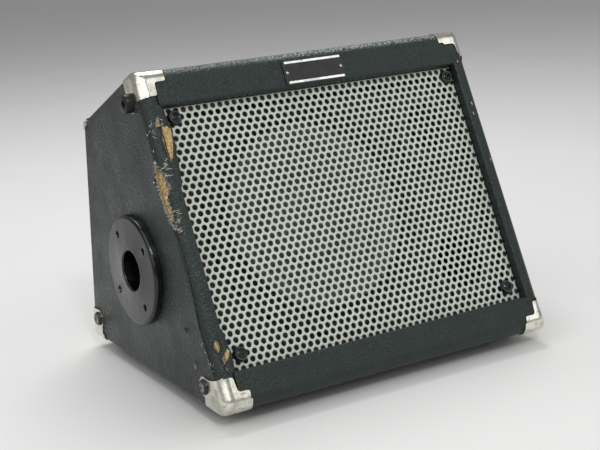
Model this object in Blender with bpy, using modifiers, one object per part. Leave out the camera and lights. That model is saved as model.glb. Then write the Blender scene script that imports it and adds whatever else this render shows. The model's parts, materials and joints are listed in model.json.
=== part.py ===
"""Wedge-shaped guitar combo amplifier, modelled piece by piece at real size.

Metres, +Z up. The grille faces -Y and +X is to the right of someone who faces it.
The origin is on the floor under the middle of the amplifier.
"""

import math

import bmesh
import bpy
from mathutils import Matrix, Vector

# Cabinet
TILT = math.radians(26.5)         # lean of the front face from upright
REAR_LEAN = math.radians(4.9)     # lean of the rear face from upright
SIDE_BOARD = 0.0145
BOTTOM_BOARD = 0.015
TOP_BOARD = 0.015
FRONT_EDGE_RADIUS = 0.0105        # seen from the side
FRONT_RIM_RADIUS = 0.0095         # where the front turns into a side
REAR_EDGE_RADIUS = 0.004
REAR_RIM_RADIUS = 0.003
FOOT_HEIGHT = 0.012
TOP_RAIL_HEIGHT = 0.0338
BOTTOM_RAIL_HEIGHT = 0.038
RAIL_DEPTH = 0.020
GAP = 0.0003                      # between pieces that touch

# Baffle and grille
BAFFLE = 0.015
GRILLE_SET_BACK = 0.009
GRILLE_SHEET = 0.0012
GRILLE_FRAME = 0.0045             # width of the spacer ring behind the sheet
GRILLE_FRAME_CORNER = 0.017
GRILLE_SCREW_INSET = 0.0112       # from the side boards
GRILLE_SCREW_ABOVE = 0.0090       # from the opening's upper edge
GRILLE_SCREW_BELOW = 0.0134       # from its lower edge
CUP_WASHER_RADIUS = 0.0068
CUP_WASHER = 0.0028
SCREW_HEAD_RADIUS = 0.0042
SCREW_HEAD_RISE = 0.0012
SCREW_SHANK_RADIUS = 0.0018
SCREW_LENGTH = 0.0165
PILOT_CLEARANCE = 0.0003          # radial room round a shank

# Woofer
WOOFER_RADIUS = 0.106
WOOFER_BESIDE = 0.0187            # from the left board
WOOFER_ABOVE = 0.0060             # from the opening's upper edge
WOOFER_BELOW = 0.0102             # from its lower edge
WOOFER_LEDGE = 0.0125             # from the frame's edge to the baffle's cut-out
BASKET_DEPTH = 0.0535
BASKET_WALL = 0.0015
BASKET_FOOT_RADIUS = 0.0535
BASKET_SHELF_RADIUS = 0.063
BASKET_SHELF_RISE = 0.009
BASKET_HOLE_RADIUS = 0.030
BASKET_WINDOW = 0.048
GASKET_WIDTH = 0.0105
GASKET = 0.0038
SURROUND_LIP = 0.0040
SURROUND_PLEATS = 3
SURROUND_RISE = 0.0030
CONE_INSET = 0.023                # from the frame's edge
CONE_NECK_RADIUS = 0.0172
CONE_EDGE = 0.0040                # above the baffle
CONE_DEPTH = 0.037
CONE_CURVE = 1.12
CONE_STEPS = 4
CONE_SHEET = 0.0008
DUST_CAP_RADIUS = 0.039
DUST_CAP_RISE = 0.011
COIL_RADIUS = 0.0169
COIL_WALL = 0.0004
COIL_CLEARANCE = 0.0007
COIL_OVERHANG = 0.002
SPIDER_WAVES = 4
SPIDER_RISE = 0.0012
SPIDER_SHEET = 0.0007
TOP_PLATE = 0.0045
TOP_PLATE_RADIUS = 0.046
MAGNET_RADIUS = 0.050
MAGNET_BORE_RADIUS = 0.026
MAGNET = 0.015
YOKE_PLATE = 0.005

# Tweeter and port
TWEETER_FROM_WOOFER = 0.003
TWEETER_BESIDE = 0.0067           # from the right board
TWEETER_ABOVE = 0.019             # from the opening's upper edge
TWEETER_FLANGE = 0.066
TWEETER_FLANGE_THICK = 0.004
TWEETER_CORNER = 0.008
TWEETER_MOUTH_RADIUS = 0.0235
TWEETER_BODY_RADIUS = 0.0225
TWEETER_BODY_DEPTH = 0.030
TWEETER_HORN_DEPTH = 0.018
TWEETER_THROAT_RADIUS = 0.010
TWEETER_BULLET_RADIUS = 0.0070
TWEETER_BULLET = 0.011
PORT_BESIDE = 0.0122              # from the right board
PORT_BELOW = 0.0147               # from the opening's lower edge
PORT_BORE_RADIUS = 0.025
PORT_WALL = 0.0022
PORT_FLANGE_RADIUS = 0.033
PORT_FLANGE_THICK = 0.003
PORT_FLARE = 0.0018
PORT_LENGTH = 0.055

# Pole socket in the left side
SOCKET_DOWN = 0.149
SOCKET_BACK = 0.0988
SOCKET_RADIUS = 0.049
SOCKET_PROUD = 0.0075
SOCKET_BORE_RADIUS = 0.01775
SOCKET_RIM = 0.0028
SOCKET_MOUTH = 0.0015
SOCKET_WALL = 0.003
SOCKET_DEPTH = 0.065              # bore depth from the flange's face
SOCKET_FLOOR = 0.003
SOCKET_SCREW_CIRCLE = 0.03675
SOCKET_HOLE_RADIUS = 0.0026

# Control panel and what it carries
PANEL_SET_DOWN = 0.0062
PANEL = 0.0015
PANEL_DEPTH = 0.0714
PANEL_LEDGE = 0.012
CHASSIS_WALL = 0.0012
CHASSIS_DEPTH = 0.041
CHASSIS_BESIDE = 0.0132           # from each side board
CHASSIS_CLEARANCE = 0.002
KNOB_XS = (-0.080, -0.032, 0.000, 0.032, 0.064)
KNOB_NAMES = ("knob_gain", "knob_bass", "knob_middle", "knob_treble", "knob_level")
KNOB_RADIUS = 0.0095
KNOB_TOP_RADIUS = 0.0078
KNOB_HEIGHT = 0.0135
KNOB_LIFT = 0.0008
KNOB_RECESS = 0.0022
KNOB_SIDES = 24
POT_RADIUS = 0.0085
POT_LENGTH = 0.009
BUSHING_RADIUS = 0.0035
POT_NUT = 0.002
POT_SHAFT_RADIUS = 0.003
POT_SHAFT_TOP = 0.0105
JACK_FROM_END = 0.0115            # of the chassis
JACK_PITCH = 0.021
JACK_BORE_RADIUS = 0.00325
JACK_BARREL_RADIUS = 0.0045
JACK_COLLAR_RADIUS = 0.0068
JACK_COLLAR = 0.0025
JACK_BODY_RADIUS = 0.009
JACK_BODY_LENGTH = 0.026
BUTTON_RADIUS = 0.004
BUTTON_PROUD = 0.006
BUTTON_COLLAR = 0.0012
BUTTON_TAIL = 0.0028
BUTTON_SWITCH = 0.0026
BOARD_SHEET = 0.0016
BOARD_CLEARANCE = 0.002
BOARD_PAST_KNOB = 0.012
BOARD_FROM_SWITCH = 0.018
CAPACITORS = (
    (-0.060, 0.006, 0.0080, 0.018),
    (-0.038, 0.006, 0.0080, 0.018),
    (-0.012, -0.004, 0.0050, 0.011),
    (0.014, -0.006, 0.0050, 0.011),
    (0.046, 0.004, 0.0063, 0.014),
)
SWITCH_FROM_END = 0.022           # of the chassis
SWITCH_FRAME = (0.021, 0.031)
SWITCH_FRAME_PROUD = 0.0018
SWITCH_BODY = (0.0165, 0.027)
SWITCH_BODY_DEPTH = 0.018
ROCKER_WIDTH = 0.0125
ROCKER_RADIUS = 0.011
ROCKER_PIVOT = 0.0002             # above the panel
ROCKER_END = math.radians(22)
ROCKER_DISH = 0.0026
ROCKER_STEPS = 12
ROCKER_SWING = math.radians(14)

# Handle
HANDLE_SPAN = 0.190               # between its two bolts
HANDLE_STRAP_WIDTH = 0.024
HANDLE_STRAP = 0.0032
HANDLE_RISE = 0.0165
HANDLE_CAP_LENGTH = 0.038
HANDLE_CAP_WIDTH = 0.0275
HANDLE_CAP_HEIGHT = 0.0085
HANDLE_CAP_EDGE = 0.002
HANDLE_MARGIN = 0.00075           # from a cap to the metal strip and to the panel
HANDLE_SLOT_HEIGHT = 0.0020
HANDLE_GRIP = 0.012               # strap inside a cap
HANDLE_STEPS = 24

# Metal corners, rubber bumpers and feet
CORNER_SHEET = 0.001
CORNER_LONG_LEG = 0.0250
CORNER_SHORT_LEG = 0.0130
CORNER_EAR_RADIUS = 0.009
EAR_INSET = 0.022
STRIP_LEG = 0.0065                # of the metal strip over the top rear edge
BUMPER_RADIUS = 0.0085
BUMPER_WELL_RADIUS = 0.0035
BUMPER_HEIGHT = 0.009
FOOT_RADIUS = 0.0115
FOOT_WELL_RADIUS = 0.0045
FOOT_INSET = 0.042                # from the sides
FOOT_FRONT = 0.050                # from the sharp bottom front edge
FOOT_REAR = 0.032                 # from the sharp bottom rear edge

# Small plate on the top rail
PLATE_SIZE = (0.0625, 0.0235)
PLATE = 0.0012
PLATE_EDGE = 0.0003
PLATE_X = 0.002
PLATE_DOWN = 0.0208

# Transformer, inlet and rear panel
REAR_PANEL = 0.012
REAR_PANEL_INSET = 0.003
REAR_PANEL_EDGE = 0.0012
REAR_CLEAT = 0.015
CORE = (0.050, 0.026, 0.042)
WINDING = (0.034, 0.044, 0.026)
TRANSFORMER_FROM_REAR = 0.058
CORE_FOOT = 0.0015
CORE_LUG = 0.010
INLET_BESIDE = 0.0682             # from the right board, the transformer in line with it
INLET_UP = 0.060
INLET_FLANGE = (0.050, 0.0225)
INLET_FLANGE_THICK = 0.003
INLET_BODY = (0.0275, 0.0195)
INLET_BODY_DEPTH = 0.024
INLET_CAVITY = (0.0240, 0.0160)
INLET_CAVITY_DEPTH = 0.0165
INLET_PIN = (0.002, 0.004, 0.0135)
INLET_PIN_PLACES = ((0, -0.0038), (-0.007, 0.0030), (0.007, 0.0030))

FINE_ROUND = 40                   # sides of large turned pieces
ROUND = 28
SMALL_ROUND = 16
TINY_ROUND = 8

# Cabinet worked out from its speakers, its panel and its handle
WIDTH = (
    2 * (SIDE_BOARD + GAP)
    + WOOFER_BESIDE
    + 2 * WOOFER_RADIUS
    + TWEETER_FROM_WOOFER
    + TWEETER_FLANGE
    + TWEETER_BESIDE
)
HALF = WIDTH / 2
INNER_HALF = HALF - SIDE_BOARD - GAP
OPENING_TOP = TOP_RAIL_HEIGHT
WOOFER_DOWN = OPENING_TOP + WOOFER_ABOVE + WOOFER_RADIUS
OPENING_BOTTOM = WOOFER_DOWN + WOOFER_RADIUS + WOOFER_BELOW
FRONT_SLOPE = OPENING_BOTTOM + BOTTOM_RAIL_HEIGHT     # between its two sharp edges
BAFFLE_FRONT = RAIL_DEPTH + GAP
BAFFLE_REAR = BAFFLE_FRONT + BAFFLE
PANEL_FRONT = RAIL_DEPTH + GAP
PANEL_REAR = PANEL_FRONT + PANEL_DEPTH
PANEL_UNDER = PANEL_SET_DOWN + PANEL
TOP_BOARD_FRONT = PANEL_REAR + GAP
TOP_BOARD_DEPTH = HANDLE_CAP_WIDTH + 2 * (STRIP_LEG + HANDLE_MARGIN)
TOP_DEPTH = TOP_BOARD_FRONT + TOP_BOARD_DEPTH         # between its two sharp edges
HANDLE_BACK = (TOP_BOARD_FRONT + TOP_DEPTH) / 2
FRONT_TOP = Vector((FRONT_SLOPE * math.sin(TILT), FRONT_SLOPE * math.cos(TILT)))
REAR_TOP = FRONT_TOP + TOP_DEPTH * Vector((math.cos(TILT), -math.sin(TILT)))
REAR_BOTTOM = Vector((REAR_TOP.x + REAR_TOP.y * math.tan(REAR_LEAN), 0))

# Places of the pieces inside it
WOOFER_X = WOOFER_BESIDE + WOOFER_RADIUS - INNER_HALF
WOOFER_CUTOUT = WOOFER_RADIUS - WOOFER_LEDGE
CONE_RADIUS = WOOFER_RADIUS - CONE_INSET
TWEETER_X = WOOFER_X + WOOFER_RADIUS + TWEETER_FROM_WOOFER + TWEETER_FLANGE / 2
TWEETER_DOWN = OPENING_TOP + TWEETER_ABOVE + TWEETER_FLANGE / 2
PORT_X = INNER_HALF - PORT_BESIDE - PORT_FLANGE_RADIUS
PORT_DOWN = OPENING_BOTTOM - PORT_BELOW - PORT_FLANGE_RADIUS
LEDGE_FRONT = PANEL_REAR - PANEL_LEDGE
PANEL_ROW = (BAFFLE_REAR + LEDGE_FRONT) / 2
CHASSIS_HALF = INNER_HALF - CHASSIS_BESIDE
CHASSIS_FRONT = BAFFLE_REAR + CHASSIS_CLEARANCE
CHASSIS_REAR = LEDGE_FRONT - GAP
JACK_XS = (JACK_FROM_END - CHASSIS_HALF, JACK_FROM_END + JACK_PITCH - CHASSIS_HALF)
SWITCH_X = CHASSIS_HALF - SWITCH_FROM_END
BUTTON_X = (KNOB_XS[0] + KNOB_XS[1]) / 2
FOOT_X = HALF - FOOT_INSET
INLET_X = INNER_HALF - INLET_BESIDE

# Metal over the cabinet, and the part's middle
OUTSIDE = 0.0057                  # reach of a cutting space past the cabinet
PAD_STEP = 0.00007                # keeps the faces of overlapping spaces apart
FAR = 0.5
CORNER_PROUD = GAP + CORNER_SHEET
FRONT_HALF_ANGLE = (math.pi / 2 - TILT) / 2
REAR_HALF_ANGLE = (math.pi / 2 - REAR_LEAN) / 2
FOREMOST = FRONT_EDGE_RADIUS / math.tan(FRONT_HALF_ANGLE) - FRONT_EDGE_RADIUS - CORNER_PROUD
REARMOST = REAR_BOTTOM.x - REAR_EDGE_RADIUS / math.tan(REAR_HALF_ANGLE) + REAR_EDGE_RADIUS + CORNER_PROUD
CABINET_Y = -(FOREMOST + REARMOST) / 2

# Frames that the pieces are placed in. BASE: x, back, up, from the sharp bottom front edge.
# FRONT: x, depth behind the front face, up the slope, from the sharp top front edge.
# REAR: x, outwards, up the rear face, from the sharp bottom rear edge.
BASE = Matrix.Translation((0, CABINET_Y, FOOT_HEIGHT))
FRONT = BASE @ Matrix.Translation((0, FRONT_TOP.x, FRONT_TOP.y)) @ Matrix.Rotation(-TILT, 4, "X")
REAR = BASE @ Matrix.Translation((0, REAR_BOTTOM.x, 0)) @ Matrix.Rotation(REAR_LEAN, 4, "X")
FACING_FRONT = Matrix.Rotation(math.pi / 2, 4, "X")
FACING_REAR = Matrix.Rotation(-math.pi / 2, 4, "X")
FACING_DOWN = Matrix.Rotation(math.pi, 4, "X")
FACING_UP = Matrix.Identity(4)
ACROSS = Matrix.Rotation(math.pi / 2, 4, "Z") @ Matrix.Rotation(math.pi / 2, 4, "X")


def at(x, y, z):
    return Matrix.Translation((x, y, z))


def facing_side(side):
    """Turn that points a piece's own +Z out of the left (-1) or right (1) side."""
    return Matrix.Rotation(side * math.pi / 2, 4, "Y")


# Scene, collections and materials
for old in list(bpy.data.objects):
    bpy.data.objects.remove(old, do_unlink=True)


def collection(name):
    group = bpy.data.collections.new(name)
    bpy.context.scene.collection.children.link(group)
    return group


PARTS = collection("guitar_combo_amplifier")
CUTTERS = collection("cutters")


def material(name, colour, roughness, metallic=0.0):
    made = bpy.data.materials.new(name)
    made.use_nodes = True
    shader = made.node_tree.nodes["Principled BSDF"]
    shader.inputs["Base Color"].default_value = (*colour, 1.0)
    shader.inputs["Roughness"].default_value = roughness
    shader.inputs["Metallic"].default_value = metallic
    made.diffuse_color = (*colour, 1.0)
    return made


VINYL = material("black_vinyl", (0.018, 0.019, 0.021), 0.45)
WOOD = material("bare_wood", (0.42, 0.29, 0.16), 0.8)
BLACK_WOOD = material("black_stained_wood", (0.015, 0.015, 0.015), 0.8)
GRILLE_PAINT = material("warm_grey_paint", (0.55, 0.56, 0.50), 0.45)
BLACK_STEEL = material("black_steel", (0.02, 0.02, 0.02), 0.35, 0.6)
NICKEL = material("nickel_plate", (0.72, 0.69, 0.62), 0.28, 1.0)
ZINC = material("zinc_steel", (0.60, 0.60, 0.60), 0.4, 1.0)
BLACK_PLASTIC = material("black_plastic", (0.02, 0.02, 0.022), 0.35)
GLOSS_BLACK = material("gloss_black_plastic", (0.015, 0.016, 0.018), 0.18)
RUBBER = material("black_rubber", (0.02, 0.02, 0.02), 0.75)
PAPER = material("paper_cone", (0.035, 0.035, 0.036), 0.85)
CLOTH = material("treated_cloth", (0.03, 0.03, 0.03), 0.9)
FERRITE = material("ferrite", (0.06, 0.06, 0.065), 0.6)
COPPER = material("copper_winding", (0.72, 0.33, 0.15), 0.4, 1.0)
BOARD_GREEN = material("circuit_board", (0.03, 0.14, 0.06), 0.45)


# Shape tools
def finish(thing, look, group=PARTS, smooth=False):
    group.objects.link(thing)
    if look is not None:
        thing.data.materials.append(look)
    if smooth:
        thing.data.shade_smooth()
        thing.data.set_sharp_from_angle(angle=math.radians(35))
    if group is CUTTERS:
        thing.hide_render = True
        thing.display_type = "WIRE"
    return thing


def object_from(name, bm, look, group=PARTS, place=None, smooth=False):
    bmesh.ops.recalc_face_normals(bm, faces=bm.faces)
    mesh = bpy.data.meshes.new(name)
    bm.to_mesh(mesh)
    bm.free()
    thing = bpy.data.objects.new(name, mesh)
    if place is not None:
        thing.matrix_world = place
    return finish(thing, look, group, smooth)


def add_box(bm, low, high, place=FACING_UP):
    """Box between two corners, added to a bmesh."""
    size = Vector(high) - Vector(low)
    middle = (Vector(high) + Vector(low)) / 2
    spread = Matrix.Translation(middle) @ Matrix.Diagonal((*size, 1))
    bmesh.ops.create_cube(bm, size=1, matrix=place @ spread)


def add_cylinder(bm, radius, bottom, top, place, sides=TINY_ROUND):
    """Cylinder along the placed +Z, added to a bmesh."""
    spread = place @ Matrix.Translation((0, 0, (bottom + top) / 2))
    bmesh.ops.create_cone(
        bm, cap_ends=True, segments=sides, radius1=radius, radius2=radius, depth=top - bottom, matrix=spread
    )


def box(name, low, high, place, look, edge=0.0, group=PARTS):
    bm = bmesh.new()
    add_box(bm, low, high)
    thing = object_from(name, bm, look, group, place)
    if edge:
        soften(thing, edge)
    return thing


def soften(thing, width, segments=1):
    bevel = thing.modifiers.new("soft_edges", "BEVEL")
    bevel.width = width
    bevel.segments = segments
    bevel.limit_method = "ANGLE"
    bevel.angle_limit = math.radians(50)
    return bevel


def flat_outline(name, points, thickness, place, look, group=PARTS):
    """Flat piece in its own XY plane, thickness centred on it, as a welded mesh."""
    curve = bpy.data.curves.new(name, "CURVE")
    curve.dimensions = "2D"
    curve.fill_mode = "BOTH"
    curve.extrude = thickness / 2
    line = curve.splines.new("POLY")
    line.points.add(len(points) - 1)
    for point, (x, y) in zip(line.points, points):
        point.co = (x, y, 0, 1)
    line.use_cyclic_u = True
    return mesh_from_curve(name, curve, place, look, group)


def mesh_from_curve(name, curve, place, look, group=PARTS):
    guide = bpy.data.objects.new(name + "_outline", curve)
    CUTTERS.objects.link(guide)
    guide.matrix_world = place
    bpy.context.view_layer.update()
    depsgraph = bpy.context.evaluated_depsgraph_get()
    mesh = bpy.data.meshes.new_from_object(guide.evaluated_get(depsgraph))
    bpy.data.objects.remove(guide, do_unlink=True)
    bm = bmesh.new()
    bm.from_mesh(mesh)
    bpy.data.meshes.remove(mesh)
    bmesh.ops.remove_doubles(bm, verts=bm.verts, dist=0.00002)
    return object_from(name, bm, look, group, place)


def turned(name, profile, place, look, sides=ROUND, closed=False, group=PARTS):
    """Profile of (radius, height) turned about its own Z. It runs down the outer side."""
    mesh = bpy.data.meshes.new(name)
    bm = bmesh.new()
    line = [bm.verts.new((radius, 0, height)) for radius, height in profile]
    for first, second in zip(line, line[1:]):
        bm.edges.new((first, second))
    if closed:
        bm.edges.new((line[-1], line[0]))
    bm.to_mesh(mesh)
    bm.free()
    thing = bpy.data.objects.new(name, mesh)
    thing.matrix_world = place
    finish(thing, look, group)
    screw = thing.modifiers.new("turn", "SCREW")
    screw.steps = sides
    screw.render_steps = sides
    screw.use_merge_vertices = True
    screw.merge_threshold = 0.00001
    screw.use_smooth_shade = True
    return thing


def cut(thing, cutter, operation="DIFFERENCE", overlapping=False):
    boolean = thing.modifiers.new(operation.lower(), "BOOLEAN")
    boolean.operation = operation
    boolean.solver = "EXACT"
    boolean.use_self = overlapping
    boolean.object = cutter
    return boolean


def drill(thing, holes):
    """Cut round holes, each a (place, radius, bottom, top, sides), in one go."""
    bm = bmesh.new()
    for place, radius, bottom, top, sides in holes:
        add_cylinder(bm, radius, bottom, top, place, sides)
    cut(thing, object_from(thing.name + "_holes", bm, None, CUTTERS))


# Cabinet form
def rounded_corners():
    """Corners of the side profile: centre, outward directions, radius and rim radii along the arc."""
    points = [Vector((0, 0)), FRONT_TOP, REAR_TOP, REAR_BOTTOM]
    radii = [FRONT_EDGE_RADIUS, FRONT_EDGE_RADIUS, REAR_EDGE_RADIUS, REAR_EDGE_RADIUS]
    steps = [6, 5, 3, 4]
    rims = [
        (REAR_RIM_RADIUS, FRONT_RIM_RADIUS),
        (FRONT_RIM_RADIUS, REAR_RIM_RADIUS),
        (REAR_RIM_RADIUS, REAR_RIM_RADIUS),
        (REAR_RIM_RADIUS, REAR_RIM_RADIUS),
    ]
    corners = []
    for index, point in enumerate(points):
        before = (points[index - 1] - point).normalized()
        after = (points[(index + 1) % 4] - point).normalized()
        half = before.angle(after) / 2
        centre = point + (before + after).normalized() * radii[index] / math.sin(half)
        start = Vector((before.y, -before.x))
        if start.dot(after) > 0:
            start = -start
        end = Vector((-after.y, after.x))
        if end.dot(before) > 0:
            end = -end
        count = steps[index]
        first, last = rims[index]
        arc = []
        for step in range(count + 1):
            share = step / count
            turn = start.slerp(end, share)
            arc.append((turn, first + (last - first) * share))
        corners.append((centre, radii[index], arc))
    return corners


CORNERS = rounded_corners()
RIM_STEPS = 3


def cabinet_form(name, grow):
    """Whole wedge, grown by a margin. Its rim radius shrinks from front to rear, so it is a loft."""
    bm = bmesh.new()
    rings = []
    for end in (-1, 1):
        stations = range(RIM_STEPS + 1)
        if end == 1:
            stations = reversed(stations)
        for station in stations:
            angle = math.pi / 2 * (1 - station / RIM_STEPS)
            ring = []
            for centre, radius, arc in CORNERS:
                for outward, rim in arc:
                    full = rim + grow
                    inset = full * (1 - math.cos(angle))
                    across = HALF + grow - full * (1 - math.sin(angle))
                    point = centre + outward * (radius + grow - inset)
                    ring.append(bm.verts.new((end * across, point.x, point.y)))
            rings.append(ring)
    count = len(rings[0])
    for first, second in zip(rings, rings[1:]):
        for index in range(count):
            following = (index + 1) % count
            bm.faces.new((first[index], first[following], second[following], second[index]))
    bm.faces.new(rings[0])
    bm.faces.new(list(reversed(rings[-1])))
    return object_from(name, bm, None, CUTTERS, BASE)


FORM = cabinet_form("cabinet_form", 0.0)
FORM_WITH_GAP = cabinet_form("cabinet_form_with_gap", GAP)
FORM_OVER_METAL = cabinet_form("cabinet_form_over_metal", CORNER_PROUD)


def board_from_form(name, low, high, place):
    """Part of the cabinet form inside a box, so that the boards' outer faces run on."""
    board = bpy.data.objects.new(name, FORM.data.copy())
    board.matrix_world = BASE
    finish(board, VINYL)
    cut(board, box(name + "_space", low, high, place, None, group=CUTTERS), "INTERSECT")
    return board


# Places that several pieces share
def side_ears():
    """Ear centres on a side, as (back, up) from the sharp bottom front edge."""
    down_and_back = Vector((math.cos(TILT) - math.sin(TILT), -math.sin(TILT) - math.cos(TILT)))
    return {
        "front_top": FRONT_TOP + EAR_INSET * down_and_back,
        "front_bottom": Vector((EAR_INSET * 1.8, EAR_INSET * 0.8)),
        "rear_bottom": Vector((REAR_BOTTOM.x - EAR_INSET * 0.7, EAR_INSET * 0.86)),
    }


EARS = side_ears()


def ear_place(side, where, out=0.0):
    return BASE @ at(side * (HALF + out), EARS[where].x, EARS[where].y) @ facing_side(side)


def driver_place(x, down):
    """Frame on the baffle's front face, +Z to the front."""
    return FRONT @ at(x, BAFFLE_FRONT, -down) @ FACING_FRONT


WOOFER = driver_place(WOOFER_X, WOOFER_DOWN)
TWEETER = driver_place(TWEETER_X, TWEETER_DOWN)
PORT = driver_place(PORT_X, PORT_DOWN)
SOCKET = FRONT @ at(-HALF, SOCKET_BACK, -SOCKET_DOWN) @ facing_side(-1)
TRANSFORMER = BASE @ at(INLET_X, REAR_BOTTOM.x - TRANSFORMER_FROM_REAR, BOTTOM_BOARD + GAP)
REAR_PANEL_OUT = -REAR_PANEL_INSET
INLET = REAR @ at(INLET_X, REAR_PANEL_OUT, INLET_UP) @ FACING_REAR
ON_GRILLE = GRILLE_SET_BACK - GAP
GRILLE_SCREW_X = INNER_HALF - GRILLE_SCREW_INSET
UPPER_SCREWS = -OPENING_TOP - GRILLE_SCREW_ABOVE
LOWER_SCREWS = GRILLE_SCREW_BELOW - OPENING_BOTTOM
GRILLE_SCREWS = {
    "grille_screw_top_left": FRONT @ at(-GRILLE_SCREW_X, ON_GRILLE, UPPER_SCREWS) @ FACING_FRONT,
    "grille_screw_top_right": FRONT @ at(GRILLE_SCREW_X, ON_GRILLE, UPPER_SCREWS) @ FACING_FRONT,
    "grille_screw_bottom_left": FRONT @ at(-GRILLE_SCREW_X, ON_GRILLE, LOWER_SCREWS) @ FACING_FRONT,
    "grille_screw_bottom_right": FRONT @ at(GRILLE_SCREW_X, ON_GRILLE, LOWER_SCREWS) @ FACING_FRONT,
}
FEET = {
    "foot_front_left": BASE @ at(-FOOT_X, FOOT_FRONT, -GAP) @ FACING_DOWN,
    "foot_front_right": BASE @ at(FOOT_X, FOOT_FRONT, -GAP) @ FACING_DOWN,
    "foot_rear_left": BASE @ at(-FOOT_X, REAR_BOTTOM.x - FOOT_REAR, -GAP) @ FACING_DOWN,
    "foot_rear_right": BASE @ at(FOOT_X, REAR_BOTTOM.x - FOOT_REAR, -GAP) @ FACING_DOWN,
}


# Rear panel, in its own frame
REAR_PANEL_RISE = (REAR_PANEL_INSET + REAR_PANEL) * math.sin(REAR_LEAN)
REAR_PANEL_LOW = (BOTTOM_BOARD + GAP + REAR_PANEL_RISE) / math.cos(REAR_LEAN)


def rear_panel_top():
    """Height where the panel's outer upper edge stays just under the top board."""
    lean = TILT + REAR_LEAN
    under_board = REAR_TOP.y / math.cos(REAR_LEAN) - (TOP_BOARD + GAP) / math.cos(lean)
    return under_board + REAR_PANEL_INSET * math.tan(lean)


REAR_PANEL_HIGH = rear_panel_top()


# Boards
def side_board(name, side):
    inner = HALF - SIDE_BOARD
    low, high = sorted((side * inner, side * FAR))
    board = board_from_form(name, (low, -FAR, -FAR), (high, FAR, FAR), BASE)
    if side < 0:
        cup = SOCKET_BORE_RADIUS + SOCKET_WALL + GAP
        drill(board, [(SOCKET, cup, -SIDE_BOARD - 0.002, 0.002, ROUND)])
    return board


def front_rail(name, low, high):
    return board_from_form(name, (-INNER_HALF, -FAR, low), (INNER_HALF, RAIL_DEPTH, high), FRONT)


def top_board():
    """Strip behind the control panel, with a ledge that carries the panel's rear edge."""
    low = (-INNER_HALF, TOP_BOARD_FRONT, -TOP_BOARD)
    board = board_from_form("top_board", low, (INNER_HALF, FAR, FAR), FRONT)
    top = -PANEL_UNDER - GAP
    ledge_low = (-INNER_HALF, LEDGE_FRONT, top - PANEL_LEDGE)
    ledge_high = (INNER_HALF, TOP_BOARD_FRONT + TOP_BOARD_DEPTH / 4, top)
    cut(board, box("top_board_ledge", ledge_low, ledge_high, FRONT, None, group=CUTTERS), "UNION")
    return board


def bottom_board():
    """Behind the lower rail, with a front edge cut parallel to the front face."""
    low = (-INNER_HALF, -FAR, -FAR)
    board = board_from_form("bottom_board", low, (INNER_HALF, FAR, BOTTOM_BOARD), BASE)
    high = (FAR, RAIL_DEPTH + GAP, FAR)
    cut(board, box("bottom_board_front", (-FAR, -FAR, -FAR), high, FRONT, None, group=CUTTERS))
    return board


def baffle_board():
    lowest = FRONT_SLOPE - (BOTTOM_BOARD + BAFFLE_REAR * math.sin(TILT)) / math.cos(TILT) - 2 * GAP
    low = (-INNER_HALF, BAFFLE_FRONT, -lowest)
    high = (INNER_HALF, BAFFLE_REAR, -PANEL_UNDER - GAP)
    board = box("baffle_board", low, high, FRONT, BLACK_WOOD)
    through = (-BAFFLE - 0.002, 0.002)
    holes = [
        (WOOFER, WOOFER_CUTOUT, *through, ROUND),
        (TWEETER, TWEETER_BODY_RADIUS + 2 * GAP, *through, ROUND),
        (PORT, PORT_BORE_RADIUS + PORT_WALL + 2 * GAP, *through, ROUND),
    ]
    drill(board, holes + grille_screw_holes())
    return board


def rear_panel():
    low = (-INNER_HALF, REAR_PANEL_OUT - REAR_PANEL, REAR_PANEL_LOW)
    high = (INNER_HALF, REAR_PANEL_OUT, REAR_PANEL_HIGH)
    panel = box("rear_panel", low, high, REAR, VINYL, edge=REAR_PANEL_EDGE)
    wide, tall = (size / 2 + GAP for size in INLET_BODY)
    cutout = box("rear_panel_cutout", (-wide, -tall, -FAR), (wide, tall, FAR), INLET, None, group=CUTTERS)
    cut(panel, cutout)
    return panel


def rear_frame():
    """Wooden U that the rear panel is screwed to, glued to the side boards and the bottom board."""
    depth = REAR_PANEL_INSET + REAR_PANEL + GAP + REAR_CLEAT
    low = (BOTTOM_BOARD + GAP + depth * math.sin(REAR_LEAN)) / math.cos(REAR_LEAN)
    high = REAR_PANEL_HIGH - REAR_CLEAT
    inner = INNER_HALF - REAR_CLEAT
    outline = [
        (-INNER_HALF, low),
        (INNER_HALF, low),
        (INNER_HALF, high),
        (inner, high),
        (inner, low + REAR_CLEAT),
        (-inner, low + REAR_CLEAT),
        (-inner, high),
        (-INNER_HALF, high),
    ]
    place = REAR @ at(0, REAR_CLEAT / 2 - depth, 0) @ FACING_FRONT
    return flat_outline("rear_frame", outline, REAR_CLEAT, place, WOOD)


# Grille
def grille_screw_holes():
    radius = SCREW_SHANK_RADIUS + PILOT_CLEARANCE
    bottom = -SCREW_LENGTH - PILOT_CLEARANCE
    return [(place, radius, bottom, 0.002, TINY_ROUND) for place in GRILLE_SCREWS.values()]


def grille_frame():
    """Black spacer ring between the sheet and the baffle, wider at its corners for the screws."""
    front = GRILLE_SET_BACK + GRILLE_SHEET + GAP
    rear = BAFFLE_FRONT - GAP
    reach = INNER_HALF - GAP
    top = -OPENING_TOP - GAP
    bottom = -OPENING_BOTTOM + GAP
    ring = box("grille_frame", (-reach, front, bottom), (reach, rear, top), FRONT, BLACK_WOOD)
    narrow, wide = GRILLE_FRAME, GRILLE_FRAME_CORNER
    bm = bmesh.new()
    add_box(bm, (wide - reach, 0, bottom + narrow), (reach - wide, rear + 0.01, top - narrow))
    add_box(bm, (narrow - reach, 0, bottom + wide), (reach - narrow, rear + 0.01, top - wide))
    cut(ring, object_from("grille_frame_inside", bm, None, CUTTERS, FRONT), overlapping=True)
    drill(ring, grille_screw_holes())
    return ring


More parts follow.
